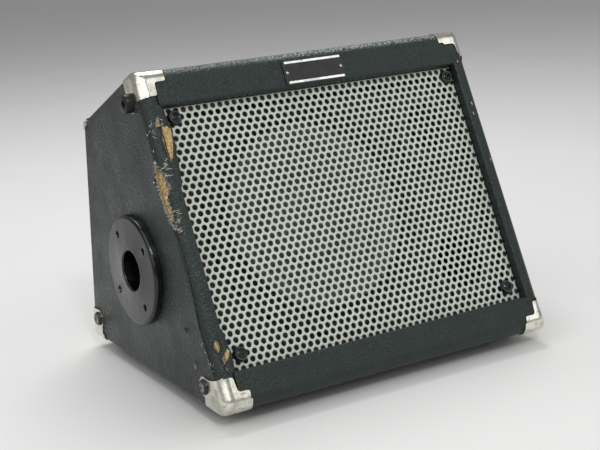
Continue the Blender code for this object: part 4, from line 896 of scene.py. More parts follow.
def rear_bottom_corner(metal, side):
    back = BASE @ at(0, REAR_BOTTOM.x, 0)
    under_legs = ((0.0250, 0.0250), 0.0130, 0.0250, (0.0150, 0.0150))
    rear_legs = ((0.0252, 0.0252), 0.0131, 0.0252, (0.0151, 0.0151))
    faces = ((under_legs, -EDGE, 0.0051, back, 1), (rear_legs, -0.0053, EDGE, REAR @ FACING_REAR, 1))
    ear = EARS["rear_bottom"] - Vector((REAR_BOTTOM.x, 0))
    wing = [
        (EDGE, -EDGE, 0),
        (EDGE, 0.0265, 0),
        (-0.0040, 0.0272, 0.0030),
        (ear.x, ear.y + EAR_RADIUS - 0.0003, 0),
        (ear.x, ear.y, 0),
        (ear.x - EAR_RADIUS + 0.0003, ear.y, 0),
        (-0.0215, 0.0080, 0.0040),
        (-0.0230, -EDGE, 0),
    ]
    press_corner(metal, "rear_bottom", side, faces, wing, back)


def edge_strip(metal):
    """Bright angle strip over the top rear edge."""
    reach = HALF + REACH
    long_reach = reach + REACH_STEP
    edge_up = REAR_TOP.y / math.cos(REAR_LEAN)
    low, high = (-reach, TOP_DEPTH - STRIP_LEG, -STRIP_DEEP), (reach, TOP_DEPTH + REACH, REACH)
    top = box("strip_top", low, high, FRONT)
    low, high = (-long_reach, -STRIP_DEEP, edge_up - STRIP_LEG), (long_reach, REACH, edge_up + REACH)
    rear = box("strip_rear", low, high, REAR)
    metal.press("edge_strip_metal", [top, rear], "edge_strip")


# Screws
SLOT_REACH = 0.60                 # of a head's radius
SLOT_HALF_WIDTH = 0.15            # of a head's radius
SLOT_DEPTH = 1.1                  # of a head's rise
HEAD_STEPS = 5
HEAD_EDGE = 0.15                  # of its rise, straight down at the rim
HEAD_SKIRT = 0.0004


def cross_screw_mesh(radius, rise, recess=True):
    """Domed head with a cross recess, its underside at height 0."""
    profile = [(0, rise)]
    for step in range(1, HEAD_STEPS + 1):
        angle = math.pi / 2 * step / HEAD_STEPS
        dome = rise * math.cos(angle) * (1 - HEAD_EDGE) + rise * HEAD_EDGE * (step < HEAD_STEPS)
        profile.append((radius * math.sin(angle), dome))
    profile += [(radius, -HEAD_SKIRT), (0, -HEAD_SKIRT)]
    head = finished("screw_head", lathe_mesh(profile, 28))
    if recess:
        reach, half = radius * SLOT_REACH, radius * SLOT_HALF_WIDTH
        low, high = (-reach, -half, rise - rise * SLOT_DEPTH), (reach, half, rise + 0.001)
        combine(head, [box("screw_slot", low, high, spun(turn)) for turn in (0, math.pi / 2)])
    mesh = mesh_alone(head)
    mesh.shade_smooth()
    mesh.set_sharp_from_angle(angle=math.radians(30))
    return mesh


def in_look(mesh, look):
    """One copy of a mesh for each material that it is used in."""
    name = f"{mesh.name}_{look.name}"
    if name not in bpy.data.meshes:
        own = mesh.copy()
        own.name = name
        own.materials.clear()
        own.materials.append(look)
    return bpy.data.meshes[name]


def put(name, mesh, where, look, body="cabinet"):
    """Object that shares a mesh, turned and placed."""
    thing = shown(name, in_look(mesh, look))
    thing.matrix_world = where
    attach(thing, body)
    return thing


def cup_washer_mesh(radius, hole, height):
    profile = [
        (hole, height * 0.35),
        (hole * 1.25, height * 0.62),
        (radius * 0.68, height),
        (radius * 0.80, height * 0.97),
        (radius * 0.97, height * 0.30),
        (radius, height * 0.08),
        (radius, 0),
        (hole, 0),
    ]
    return mesh_alone(lathe("cup_washer", profile, UPRIGHT, closed=True))


# Camera
def camera():
    """At the photograph's viewing angle, found from the grille's hole pattern."""
    data = bpy.data.cameras.new("camera")
    data.sensor_width = 36
    data.lens = 81.38
    data.clip_end = 50
    made = shown("camera", data)
    made.rotation_mode = "QUATERNION"
    made.location = (-0.6256, -1.0366, 0.4396)
    made.rotation_quaternion = Quaternion((0.75937, 0.59145, -0.14634, -0.22833))
    bpy.context.scene.camera = made


camera()

# Cabinet
SOCKET = FRONT @ at(-HALF, 0.0988, -0.149) @ facing_side(-1)
SOCKET_HOLE_RADIUS = 0.0212
RAIL_EDGE = 0.0026
RAIL_BACK_EDGE = 0.0005
RAIL_TOP_BACK_EDGE = 0.0012

left_board = side_board("left", -1)
side_board("right", 1)
hole_profile = [(0, -0.03), (SOCKET_HOLE_RADIUS, -0.03), (SOCKET_HOLE_RADIUS, 0.01), (0, 0.01)]
socket_hole = lathe("socket_hole", hole_profile, SOCKET)
rail("top", [
    (0, 0, FRONT_EDGE_RADIUS),
    (0, -OPENING_TOP, RAIL_EDGE),
    (RAIL_DEPTH, -OPENING_TOP, RAIL_BACK_EDGE),
    (RAIL_DEPTH, 0, RAIL_TOP_BACK_EDGE),
])
rail("bottom", [
    (0, -OPENING_BOTTOM, RAIL_EDGE),
    (0, -FRONT_SLOPE, FRONT_EDGE_RADIUS),
    (RAIL_DEPTH, -FRONT_SLOPE + RAIL_DEPTH * math.tan(TILT), RAIL_BACK_EDGE),
    (RAIL_DEPTH, -OPENING_BOTTOM, RAIL_BACK_EDGE),
])

# Worn places, each point as (slope down from the sharp top edge, arc round a side board's front)
TEAR_CELL = 0.0009
RIM_LENGTH = FRONT_RIM_RADIUS * math.pi / 2
BOARD_EDGE = SIDE_BOARD - FRONT_RIM_RADIUS
TEAR_DEPTH = 0.0024
TEARS = {
    "spot": [
        (0.0440, -0.0015), (0.0452, -0.0032), (0.0488, -0.0030), (0.0510, -0.0004), (0.0500, 0.0027),
        (0.0462, 0.0021),
    ],
    "inner": [
        (0.0525, -0.0019), (0.0522, -0.0062), (0.0546, -0.0095), (0.0640, -0.0080), (0.0766, -0.0046),
        (0.0838, -0.0010), (0.0800, 0.0000), (0.0715, -0.0001), (0.0626, 0.0010),
    ],
    "outer": [
        (0.0779, 0.0109), (0.0871, 0.0097), (0.0941, 0.0070), (0.1005, 0.0062), (0.1050, 0.0058),
        (0.1075, 0.0075), (0.1122, 0.0096), (0.1231, 0.0081), (0.1312, 0.0098), (0.1302, 0.0130),
        (0.1175, 0.0148), (0.1013, 0.0168), (0.0847, 0.0141),
    ],
    "tip": [(0.1336, 0.0115), (0.1350, 0.0090), (0.1404, 0.0055), (0.1400, 0.0078), (0.1362, 0.0122)],
    "low_inner": [(0.2335, 0.0032), (0.2360, 0.0006), (0.2408, 0.0006), (0.2450, 0.0028), (0.2385, 0.0054)],
    "low_middle": [
        (0.2425, -0.0052), (0.2446, -0.0070), (0.2505, -0.0038), (0.2550, 0.0006), (0.2500, 0.0018),
    ],
    "low_end": [(0.2555, -0.0022), (0.2600, -0.0046), (0.2622, -0.0020), (0.2585, 0.0008)],
    "side_hole": [(0.2448, 0.0388), (0.2470, 0.0380), (0.2502, 0.0390), (0.2508, 0.0424), (0.2460, 0.0428)],
}
DEEP_TEARS = ("inner", "outer")
FRINGED_TEARS = ("spot", "outer", "tip")
OVERLAP = [
    (0.1336, 0.0131), (0.1464, 0.0107), (0.1681, 0.0096), (0.1974, 0.0112), (0.2220, 0.0140),
    (0.2433, 0.0125), (0.2610, 0.0122),
]
NUBS = {
    "upper": (0.0548, 0.0119),
    "middle": (0.0695, 0.0102),
    "side": (0.0928, 0.0222),
    "low": (0.2168, 0.0407),
}
RIGHT_NICKS = {
    "upper": (0.0320, -0.0008),
    "middle": (0.0745, 0.0005),
    "next": (0.0838, -0.0012),
    "lower": (0.1299, 0.0020),
}
# Each patch of loose fibres from one point to another, and their number
FRAYED = {
    "top": ((0.046, 0.0040), (0.060, 0.0085), 8),
    "upper": ((0.080, 0.0010), (0.093, 0.0062), 22),
    "middle": ((0.122, 0.0042), (0.133, 0.0080), 12),
    "low": ((0.228, 0.0105), (0.258, 0.0145), 8),
}
# The swollen board as (slope, how far it reaches over the grille's edge)
SWELL_UPPER = [
    (0.033, 0.0012), (0.042, 0.0036), (0.056, 0.0050), (0.072, 0.0046), (0.088, 0.0028), (0.104, 0.0006),
]
SWELL_LOWER = [(0.226, 0.0004), (0.236, 0.0016), (0.248, 0.0030), (0.2615, 0.0026)]
SWELL_ROOT = 0.0034
SWELL_STEPS = 9
SWELL_SPACING = 0.0010
SWELL_PUFF = 0.30                 # of its reach
SWELL_DEPTH = 0.0086
SWELL_BACK = ((1.02, 0.0030), (0.9, SWELL_DEPTH))   # share of its reach, depth
# Width and rise of each kind of lifted edge, and how deep its foot and its root are set
TEAR_LIP = (0.0016, 0.0007)
NUB_LIP = (0.0011, 0.0010)
OVERLAP_LIP = (0.0013, 0.0007)
NICK_LIP = (0.0013, 0.0008)
LIP_FOOT = 0.0002
LIP_ROOT = 0.0007
LIP_SPACING = 0.0011
TIP_SIDES = (2, 3)                # of its cross-section, which show the backing
NUB_SIZE = 0.0012
NICK_SIZE = 0.0016
FIBRE_RADIUS = 0.00033
FIBRE_STEP = 0.0006
FIBRE_LOWEST = 0.0004
FIBRE_RISE = 0.0014
FRINGE_SPACING = 0.0010
SEEDS = {
    "nub": 20, "overlap": 40, "patch": 50, "upper": 60, "lower": 61, "nick": 70, "fringe": 80, "fibres": 90,
}


def rim_point(side, slope, arc, out=0.0):
    """Point on a side board. Arc is negative on the flat front and grows round the rim to the side."""
    start = HALF - FRONT_RIM_RADIUS
    if arc < 0:
        across, depth, normal = start + arc, 0.0, (0.0, -1.0)
    elif arc < RIM_LENGTH:
        angle = arc / FRONT_RIM_RADIUS
        normal = (math.sin(angle), -math.cos(angle))
        across = start + FRONT_RIM_RADIUS * normal[0]
        depth = FRONT_RIM_RADIUS * (1 + normal[1])
    else:
        across, depth, normal = HALF, FRONT_RIM_RADIUS + arc - RIM_LENGTH, (1.0, 0.0)
    return FRONT @ Vector((side * (across + out * normal[0]), depth + out * normal[1], -slope))


def inside(outline, x, y):
    hit = False
    for (x0, y0), (x1, y1) in zip(outline, outline[1:] + outline[:1]):
        if (y0 > y) != (y1 > y) and x < x0 + (y - y0) * (x1 - x0) / (y1 - y0):
            hit = not hit
    return hit


def covered_cells(outline, low):
    """Grid cells inside an outline, none of them joined by a corner alone."""
    high = [max(point[axis] for point in outline) for axis in (0, 1)]
    rows, columns = (math.ceil((high[axis] - low[axis]) / TEAR_CELL) for axis in (0, 1))
    kept = set()
    for row in range(rows):
        for column in range(columns):
            if inside(outline, low[0] + (row + 0.5) * TEAR_CELL, low[1] + (column + 0.5) * TEAR_CELL):
                kept.add((row, column))
    changed = True
    while changed:
        changed = False
        for row, column in sorted(kept):
            for step in (-1, 1):
                below, beside = (row + 1, column), (row, column + step)
                if (row + 1, column + step) in kept and below not in kept and beside not in kept:
                    kept.add(below)
                    changed = True
    return kept


def torn_space(name, side, outline, depth, look, seed):
    """Ragged block over an outline, to gouge the covering and the board under it."""
    chance = random.Random(seed)
    low = [min(point[axis] for point in outline) for axis in (0, 1)]
    kept = covered_cells(outline, low)
    bm = bmesh.new()
    found = {}

    def corner(row, column):
        if (row, column) not in found:
            slope = low[0] + (row + chance.uniform(-0.35, 0.35)) * TEAR_CELL
            arc = low[1] + (column + chance.uniform(-0.35, 0.35)) * TEAR_CELL
            deep = -depth * chance.uniform(0.4, 1.0)
            found[row, column] = [bm.verts.new(rim_point(side, slope, arc, out)) for out in (0.003, deep)]
        return found[row, column]

    steps = ((0, 0), (1, 0), (1, 1), (0, 1))
    beside = ((0, -1), (1, 0), (0, 1), (-1, 0))
    for row, column in sorted(kept):
        square = [corner(row + down, column + over) for down, over in steps]
        bm.faces.new([pair[0] for pair in square])
        bm.faces.new([pair[1] for pair in square])
        for index, (down, over) in enumerate(beside):
            if (row + down, column + over) not in kept:
                first, second = square[index], square[(index + 1) % 4]
                bm.faces.new((first[0], second[0], second[1], first[1]))
    block = finished(name, bm, look, None, sharp=None)
    block.data.shade_flat()
    return block


def walked(line, step, closed):
    """Points about a step apart along a line of (slope, arc) corners."""
    ends = line[1:] + line[:1] if closed else line[1:]
    points = []
    for start, end in zip(line, ends):
        span = Vector(end) - Vector(start)
        count = max(1, round(span.length / step))
        points += [Vector(start) + span * index / count for index in range(count)]
    if not closed:
        points.append(Vector(line[-1]))
    return points


def worn_piece(name, bm, look=VINYL, other_look=None):
    """Piece of the covering or the board, some of its faces in another material."""
    piece = finished(name, bm, look, sharp=None)
    if other_look:
        piece.data.materials.append(other_look)


def lifted_edge(name, side, line, lip, seed, closed=True, tip_look=BACKING):
    """Torn edge of the covering, curled up along a line, its tip showing the backing."""
    width, rise = lip
    chance = random.Random(seed)
    points = walked(line, LIP_SPACING, closed)
    centre = sum(points, Vector((0, 0))) / len(points)
    bm = bmesh.new()
    sections = []
    for index, point in enumerate(points):
        before = points[index - 1] if closed or index else point
        after = points[(index + 1) % len(points)] if closed or index + 1 < len(points) else point
        ahead = (after - before).normalized()
        away = Vector((-ahead.y, ahead.x))
        if closed and away.dot(point - centre) < 0:
            away = -away
        fade = 1.0 if closed else min(1.0, 0.15 + min(index, len(points) - 1 - index) / 5)
        ragged = chance.uniform(0.55, 1.25) * fade
        curl = chance.uniform(0.3, 1.3)
        high = rise * ragged
        profile = (
            (1.0, -LIP_FOOT),
            (0.45, 0.62 * high),
            (-0.10, high),
            (-0.38 * curl, 0.65 * high),
            (-0.30 * curl, 0.10 * rise),
            (0.2, -LIP_ROOT),
        )
        section = []
        for share, out in profile:
            spot = point + away * width * share * (0.5 + 0.5 * ragged)
            section.append(bm.verts.new(rim_point(side, spot.x, spot.y, out)))
        sections.append(section)
    pairs = list(zip(sections, sections[1:]))
    if closed:
        pairs.append((sections[-1], sections[0]))
    corners = len(sections[0])
    for first, second in pairs:
        for index in range(corners):
            after = (index + 1) % corners
            face = bm.faces.new((first[index], first[after], second[after], second[index]))
            face.material_index = int(index in TIP_SIDES)
    if not closed:
        for end in (sections[0], sections[-1]):
            bm.faces.new(end)
    worn_piece(name, bm, other_look=tip_look)


def small_outline(slope, arc, size):
    """Narrow four-cornered outline round a point."""
    half = 0.6 * size
    return [(slope - size, arc), (slope, arc - half), (slope + 1.4 * size, arc), (slope, arc + half)]


def scattered(low, high, count, seed):
    """Random points within a patch of (slope, arc)."""
    chance = random.Random(seed)
    return [Vector([chance.uniform(*ends) for ends in zip(low, high)]) for number in range(count)]


def loose_fibres(name, side, roots, seed, steps=4):
    """Thin curled threads of the backing, one from each root."""
    chance = random.Random(seed)
    bm = bmesh.new()
    for root in roots:
        point = root.copy()
        heading = chance.uniform(0, 2 * math.pi)
        rings = []
        out = 0.0
        for step in range(steps + 1):
            middle = rim_point(side, point.x, point.y, FIBRE_LOWEST + out)
            thick = FIBRE_RADIUS * (1 - 0.15 * step)
            turns = [2 * math.pi * turn / 3 for turn in range(3)]
            around = [Vector((0, thick * math.cos(turn), thick * math.sin(turn))) for turn in turns]
            rings.append([bm.verts.new(middle + offset) for offset in around])
            point += FIBRE_STEP * Vector((math.cos(heading), math.sin(heading)))
            heading += chance.uniform(-0.9, 0.9)
            out = min(FIBRE_RISE, max(0.0, out + chance.uniform(-0.0001, 0.0007)))
        bridge(bm, rings)
    worn_piece(name, bm, FIBRE)


def swollen_edge(name, swell, bare, seed):
    """Board that has swollen over the grille's edge, bare within one outline."""
    chance = random.Random(seed)
    bm = bmesh.new()
    rings = []
    for slope, reach in walked(swell, SWELL_SPACING, False):
        over = reach * chance.uniform(0.82, 1.12)
        ring = []
        for step in range(SWELL_STEPS + 1):
            share = step / SWELL_STEPS
            puff = SWELL_PUFF * reach * math.sin(math.pi * share ** 0.8) * chance.uniform(0.6, 1.2)
            ring.append((-SWELL_ROOT + (over + SWELL_ROOT) * share, -puff - 0.0001, slope))
        ring += [(over * share, depth, slope) for share, depth in SWELL_BACK]
        ring.append((-SWELL_ROOT, SWELL_DEPTH, slope))
        rings.append(ring)
    edge = HALF - SIDE_BOARD
    bridge(bm, [[bm.verts.new(FRONT @ Vector((-edge + x, y, -z))) for x, y, z in ring] for ring in rings])
    bm.faces.ensure_lookup_table()
    for number, face in enumerate(bm.faces):
        row, step = divmod(number, len(rings[0]))
        if row + 1 < len(rings) and step < SWELL_STEPS:
            across = (rings[row][step][0] + rings[row + 1][step + 1][0]) / 2
            slope = (rings[row][step][2] + rings[row + 1][step][2]) / 2
            face.material_index = int(inside(bare, slope, -BOARD_EDGE - across))
    worn_piece(name, bm, other_look=BOARD)


def worn_left_board(board):
    board.modifiers.clear()
    spaces = [socket_hole]
    for number, (word, outline) in enumerate(TEARS.items()):
        depth = TEAR_DEPTH if word in DEEP_TEARS else TEAR_DEPTH / 2
        spaces.append(torn_space(f"tear_{word}_space", -1, outline, depth, BOARD, number))
        lifted_edge(f"tear_{word}_lip", -1, outline, TEAR_LIP, number)
        if word in FRINGED_TEARS:
            roots = walked(outline, FRINGE_SPACING, True)
            loose_fibres(f"tear_{word}_fringe", -1, roots, SEEDS["fringe"] + number)
    combine(board, spaces)
    weigh_normals(board)
    for number, (word, (slope, arc)) in enumerate(NUBS.items()):
        outline = small_outline(slope, arc, NUB_SIZE)
        lifted_edge(f"nub_{word}", -1, outline, NUB_LIP, SEEDS["nub"] + number, tip_look=FIBRE)
    lifted_edge("covering_overlap", -1, OVERLAP, OVERLAP_LIP, SEEDS["overlap"], closed=False, tip_look=VINYL)
    for number, (word, (low, high, count)) in enumerate(FRAYED.items()):
        roots = scattered(low, high, count, SEEDS["patch"] + number)
        loose_fibres(f"fibres_{word}", -1, roots, SEEDS["fibres"] + number, 5)
    swollen_edge("swollen_board_upper", SWELL_UPPER, TEARS["inner"], SEEDS["upper"])
    swollen_edge("swollen_board_lower", SWELL_LOWER, TEARS["low_middle"], SEEDS["lower"])


def worn_right_board():
    for number, (word, (slope, arc)) in enumerate(RIGHT_NICKS.items()):
        outline = small_outline(slope, arc, NICK_SIZE)
        lifted_edge(f"right_nick_{word}", 1, outline, NICK_LIP, SEEDS["nick"] + number, tip_look=FIBRE)


worn_left_board(left_board)
worn_right_board()

# Perforated grille
HOLE_PITCH = 0.0070
HOLE_RADIUS = 0.00260
HOLE_SIDES = 12
HOLE_FIRST_X = -0.1425            # a hole's centre in the odd rows
HOLE_FIRST_DOWN = 0.0308          # row 0
HOLE_ROWS = range(-1, 40)
HOLE_COLUMNS = range(-4, 46)
MERGE_GRID = 2e5                  # per metre
SMALLEST_FACE = 1e-9
GRILLE_DEPTH = 0.009
GRILLE_SHEET = 0.0012


def hole_and_share():
    """Outline of the sheet that belongs to one hole, and the hole's own, about its centre."""
    outer, inner = [], []
    for step in range(HOLE_SIDES):
        angle = math.pi / 6 * step
        reach = HOLE_PITCH / math.sqrt(3) if step % 2 else HOLE_PITCH / 2
        outer.append((reach * math.cos(angle), reach * math.sin(angle)))
        inner.append((HOLE_RADIUS * math.cos(angle), HOLE_RADIUS * math.sin(angle)))
    return outer, inner


def hole_centres(low_x, high_x, low_down, high_down):
    """Staggered rows of centres, over the sheet and just past its edges."""
    for row in HOLE_ROWS:
        shift = 0.0 if row % 2 else HOLE_PITCH / 2
        down = HOLE_FIRST_DOWN + row * HOLE_PITCH * math.sqrt(3) / 2
        for column in HOLE_COLUMNS:
            x = HOLE_FIRST_X + column * HOLE_PITCH + shift
            inside_x = low_x - HOLE_PITCH / 2 < x < high_x + HOLE_PITCH / 2
            if inside_x and low_down - HOLE_PITCH < down < high_down + HOLE_PITCH:
                yield x, down


def grille():
    """Punched sheet with staggered round holes right up to its cut edges."""
    limits_x = (-INNER_HALF + GAP, INNER_HALF - GAP)
    limits_down = (OPENING_TOP + GAP, OPENING_BOTTOM - GAP)
    outer, inner = hole_and_share()
    bm = bmesh.new()
    found = {}

    def vertex(x, down):
        x = min(max(x, limits_x[0]), limits_x[1])
        down = min(max(down, limits_down[0]), limits_down[1])
        key = (round(x * MERGE_GRID), round(down * MERGE_GRID))
        if key not in found:
            found[key] = bm.verts.new((x, 0, -down))
        return found[key]

    for centre_x, centre_down in hole_centres(*limits_x, *limits_down):
        ring_out = [vertex(centre_x + x, centre_down + y) for x, y in outer]
        ring_in = [vertex(centre_x + x, centre_down + y) for x, y in inner]
        for step in range(HOLE_SIDES):
            after = (step + 1) % HOLE_SIDES
            unique = list(dict.fromkeys((ring_out[step], ring_out[after], ring_in[after], ring_in[step])))
            if len(unique) < 3 or bm.faces.get(unique):
                continue
            face = bm.faces.new(unique)
            if face.calc_area() < SMALLEST_FACE:
                bm.faces.remove(face)
    bmesh.ops.delete(bm, geom=[v for v in bm.verts if not v.link_faces], context="VERTS")
    where = FRONT @ at(0, GRILLE_DEPTH, 0)
    sheet = finished("grille", bm, GRILLE_PAINT, "cabinet", where, 30)
    if sheet.data.polygons[0].normal.y > 0:
        sheet.data.flip_normals()
    thick = sheet.modifiers.new("sheet", "SOLIDIFY")
    thick.thickness = GRILLE_SHEET
    thick.offset = -1
    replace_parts(sheet, "grille_sheet")


grille()

# Corners and the strip over the top rear edge
metal_form = MetalForm()
for side in SIDES.values():
    front_top_corner(metal_form, side)
    front_bottom_corner(metal_form, side)
    rear_bottom_corner(metal_form, side)
edge_strip(metal_form)
metal_form.remove()

# Turned and fixed pieces
SCREW = cross_screw_mesh(0.0040, 0.0018)
SMALL_SCREW = cross_screw_mesh(0.0029, 0.0012)
WASHER_HOLE_UP = 0.0018
CUP_WASHER = cup_washer_mesh(0.0068, 0.0019, 0.0028)
GRILLE_FACE = FRONT @ at(0, GRILLE_DEPTH - GAP, 0) @ FACING_FRONT
# x, down, turn of the cross
GRILLE_SCREWS = {
    "top_left": (-0.1390, 0.0432, 0.5),
    "top_right": (0.1459, 0.0432, 1.0),
    "bottom_left": (-0.1390, 0.2490, 1.2),
    "bottom_right": (0.1410, 0.2490, 0.2),
}
BUMPER_RADIUS = 0.0083
BUMPER_HEIGHT = 0.0072
BUMPER_FLOOR = 0.0015
BUMPER_PROFILE = [
    (0, BUMPER_FLOOR),
    (0.0033, BUMPER_FLOOR),
    (0.0033, BUMPER_HEIGHT - 0.0008),
    (0.0039, BUMPER_HEIGHT),
    (BUMPER_RADIUS - 0.0016, BUMPER_HEIGHT),
    (BUMPER_RADIUS - 0.0005, BUMPER_HEIGHT - 0.0004),
    (BUMPER_RADIUS, BUMPER_HEIGHT - 0.0014),
    (BUMPER_RADIUS, 0),
    (0, 0),
]
FOOT_RADIUS = 0.0115
FOOT_FLOOR = 0.0058
FOOT_X = 0.126
FOOT_BACK = {"front": 0.050, "rear": REAR_BOTTOM.x - 0.032}
FOOT_PROFILE = [
    (0, FOOT_FLOOR),
    (0.0045, FOOT_FLOOR),
    (0.0045, 0.0112),
    (0.0050, 0.0117),
    (FOOT_RADIUS - 0.0030, 0.0117),
    (FOOT_RADIUS - 0.0019, 0.0112),
    (FOOT_RADIUS - 0.0014, 0.0103),
    (FOOT_RADIUS, 0),
    (0, 0),
]


def washer_and_screw(name, where, screw_look, turn):
    """Black cup washer with its cross-head screw."""
    where = where @ spun(turn)
    washer = put(name + "_washer", CUP_WASHER, where, BLACK_STEEL)
    put(name + "_head", SCREW, where @ at(0, 0, WASHER_HOLE_UP), screw_look)
    return washer


def rubber_piece(name, profile, seat, look):
    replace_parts(lathe(name + "_rubber", profile, seat, look, sides=40), name)


for corner, (x, down, turn) in GRILLE_SCREWS.items():
    washer = washer_and_screw(f"grille_{corner}", GRILLE_FACE @ at(x, -down, 0), BLACK_STEEL, turn)
    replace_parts(washer, f"grille_screw_{corner}")
for word, side in SIDES.items():
    for level, turn in (("front_bottom", 0.3), ("rear_bottom", 0.9)):
        washer_and_screw(f"{level}_{word}", ear_place(side, level, CORNER_PROUD), DULL_STEEL, turn)
for word, side in SIDES.items():
    seat = ear_place(side, "front_top", CORNER_PROUD + GAP)
    rubber_piece(f"bumper_{word}", BUMPER_PROFILE, seat, SMOOTH_RUBBER)
    put(f"bumper_{word}_screw", SMALL_SCREW, seat @ at(0, 0, BUMPER_FLOOR), BLACK_STEEL)
    for level, back in FOOT_BACK.items():
        seat = BASE @ at(side * FOOT_X, back, -GAP) @ FACING_DOWN
        rubber_piece(f"foot_{level}_{word}", FOOT_PROFILE, seat, RUBBER)
        put(f"foot_{level}_{word}_screw", SCREW, seat @ at(0, 0, FOOT_FLOOR), ZINC)

# Pole socket
SOCKET_RADIUS = 0.049
SOCKET_PROUD = 0.0075
SOCKET_BORE = 0.01775
SOCKET_DEPTH = 0.065
SOCKET_WALL = 0.003
SOCKET_LIP = 0.0016
SOCKET_RIM = 0.0030
SOCKET_FACE = SOCKET_PROUD - 0.0002
SOCKET_SHARP = 32
SOCKET_DRILLS = 4
SOCKET_DRILL_CIRCLE = 0.0366
SOCKET_DRILL_TURN = math.radians(13.6)
SOCKET_SCREW = cross_screw_mesh(0.0024, 0.0011)
DRILL_PROFILE = [
    (0, 0.0012),
    (0.0030, 0.0012),
    (0.0030, SOCKET_PROUD - 0.0008),
    (0.0036, SOCKET_PROUD + 0.0002),
    (0.0036, 0.012),
    (0, 0.012),
]


def pole_socket():
    """Glossy flange with a rounded rim, a moulded lip round the bore and four screw holes."""
    floor = SOCKET_PROUD - SOCKET_DEPTH
    outside = SOCKET_BORE + SOCKET_WALL
    profile = [(0, floor), (SOCKET_BORE, floor), (SOCKET_BORE, SOCKET_PROUD - SOCKET_LIP)]
    for cos, sin in quarter_turn(4):
        profile.append((SOCKET_BORE + SOCKET_LIP * (1 - cos), SOCKET_PROUD - SOCKET_LIP * (1 - sin)))
    profile.append((SOCKET_BORE + 0.0024, SOCKET_FACE))
    for cos, sin in quarter_turn(8):
        profile.append((SOCKET_RADIUS - SOCKET_RIM * (1 - sin), SOCKET_FACE - SOCKET_RIM * (1 - cos)))
    profile += [(SOCKET_RADIUS, GAP), (outside, GAP)]
    profile += [(outside, floor - SOCKET_WALL), (0, floor - SOCKET_WALL)]
    socket = lathe("pole_socket_moulding", profile, SOCKET, GLOSS_BLACK, sides=96)
    cutters = []
    for number, seat in in_a_circle(SOCKET, SOCKET_DRILLS, SOCKET_DRILL_CIRCLE, 0, SOCKET_DRILL_TURN):
        cutters.append(lathe(f"socket_drill_{number}", DRILL_PROFILE, seat, GLOSS_BLACK, None, sides=24))
        put(f"pole_socket_screw_{number}", SOCKET_SCREW, seat @ at(0, 0, 0.0016), BLACK_STEEL)
    combine(socket, cutters)
    socket.data.set_sharp_from_angle(angle=math.radians(SOCKET_SHARP))
    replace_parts(socket, "pole_socket")


pole_socket()

# Plate on the top rail
PLATE_PLACE = FRONT @ at(0.002, -GAP, -0.0208) @ FACING_FRONT
PLATE_HALF_WIDTH = 0.03125
PLATE_HALF_HEIGHT = 0.01175
PLATE_THICK = 0.0012
PLATE_LINE_INSET = 0.0026
PLATE_LINE_HALF = 0.0010
PIN = cross_screw_mesh(0.0014, 0.0006, False)


def name_plate():
    """Bare black plate with a bright line along its top and bottom, held by two pins."""
    outline = rounded_rectangle(PLATE_HALF_WIDTH, PLATE_HALF_HEIGHT, 0.0012)
    plate = extruded("plate_blank", outline, 0, PLATE_THICK, PLATE_PLACE, PANEL_PAINT)
    soften(plate, 0.00025)
    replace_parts(plate, "badge_plate")
    long = PLATE_HALF_WIDTH - 0.0024
    for word, sign in (("upper", 1), ("lower", -1)):
        height = sign * (PLATE_HALF_HEIGHT - PLATE_LINE_INSET)
        low, high = (-long, height - PLATE_LINE_HALF, 0.0011), (long, height + PLATE_LINE_HALF, 0.00135)
        box(f"plate_line_{word}", low, high, PLATE_PLACE, BRIGHT_STRIPE)
    for word, side in SIDES.items():
        put(f"plate_pin_{word}", PIN, PLATE_PLACE @ at(side * (PLATE_HALF_WIDTH - 0.0034), 0, 0.0010), ZINC)


name_plate()

# Speakers behind the grille
BAFFLE_FRONT = RAIL_DEPTH + GAP
WOOFER = FRONT @ at(-0.0285, BAFFLE_FRONT, -0.1458) @ FACING_FRONT
WOOFER_RADIUS = 0.106
TWEETER = FRONT @ at(0.1135, BAFFLE_FRONT, -0.0858) @ FACING_FRONT
CONE_RADIUS = 0.083
CONE_NECK = 0.0172
CONE_EDGE = 0.004
CONE_DEPTH = 0.037
CONE_CURVE = 1.12
CONE_SHEET = 0.0008
CONE_STEPS = 24
RIDGES_AT = 0.062
RIDGES_HALF = 0.0126
RIDGE_PERIOD = 0.0016
RIDGE_RISE = 0.0004
CAP_RADIUS = 0.039
CAP_RISE = 0.011
CAP_STEPS = 16
GASKET_PROFILE = [
    (WOOFER_RADIUS - GAP, 0.0021),
    (WOOFER_RADIUS - GAP, 0.0052),
    (WOOFER_RADIUS - 0.0010, 0.0059),
    (WOOFER_RADIUS - 0.0095, 0.0059),
    (WOOFER_RADIUS - 0.0105, 0.0052),
    (WOOFER_RADIUS - 0.0105, 0.0021),
]


def cone_height(radius):
    share = (radius - CONE_NECK) / (CONE_RADIUS - CONE_NECK)
    return CONE_EDGE - CONE_DEPTH * (1 - share) ** CONE_CURVE


def sheet_profile(points, thick):
    """Closed profile of a sheet over a line of points that runs inwards."""
    return points + [(radius, height + thick) for radius, height in reversed(points)]


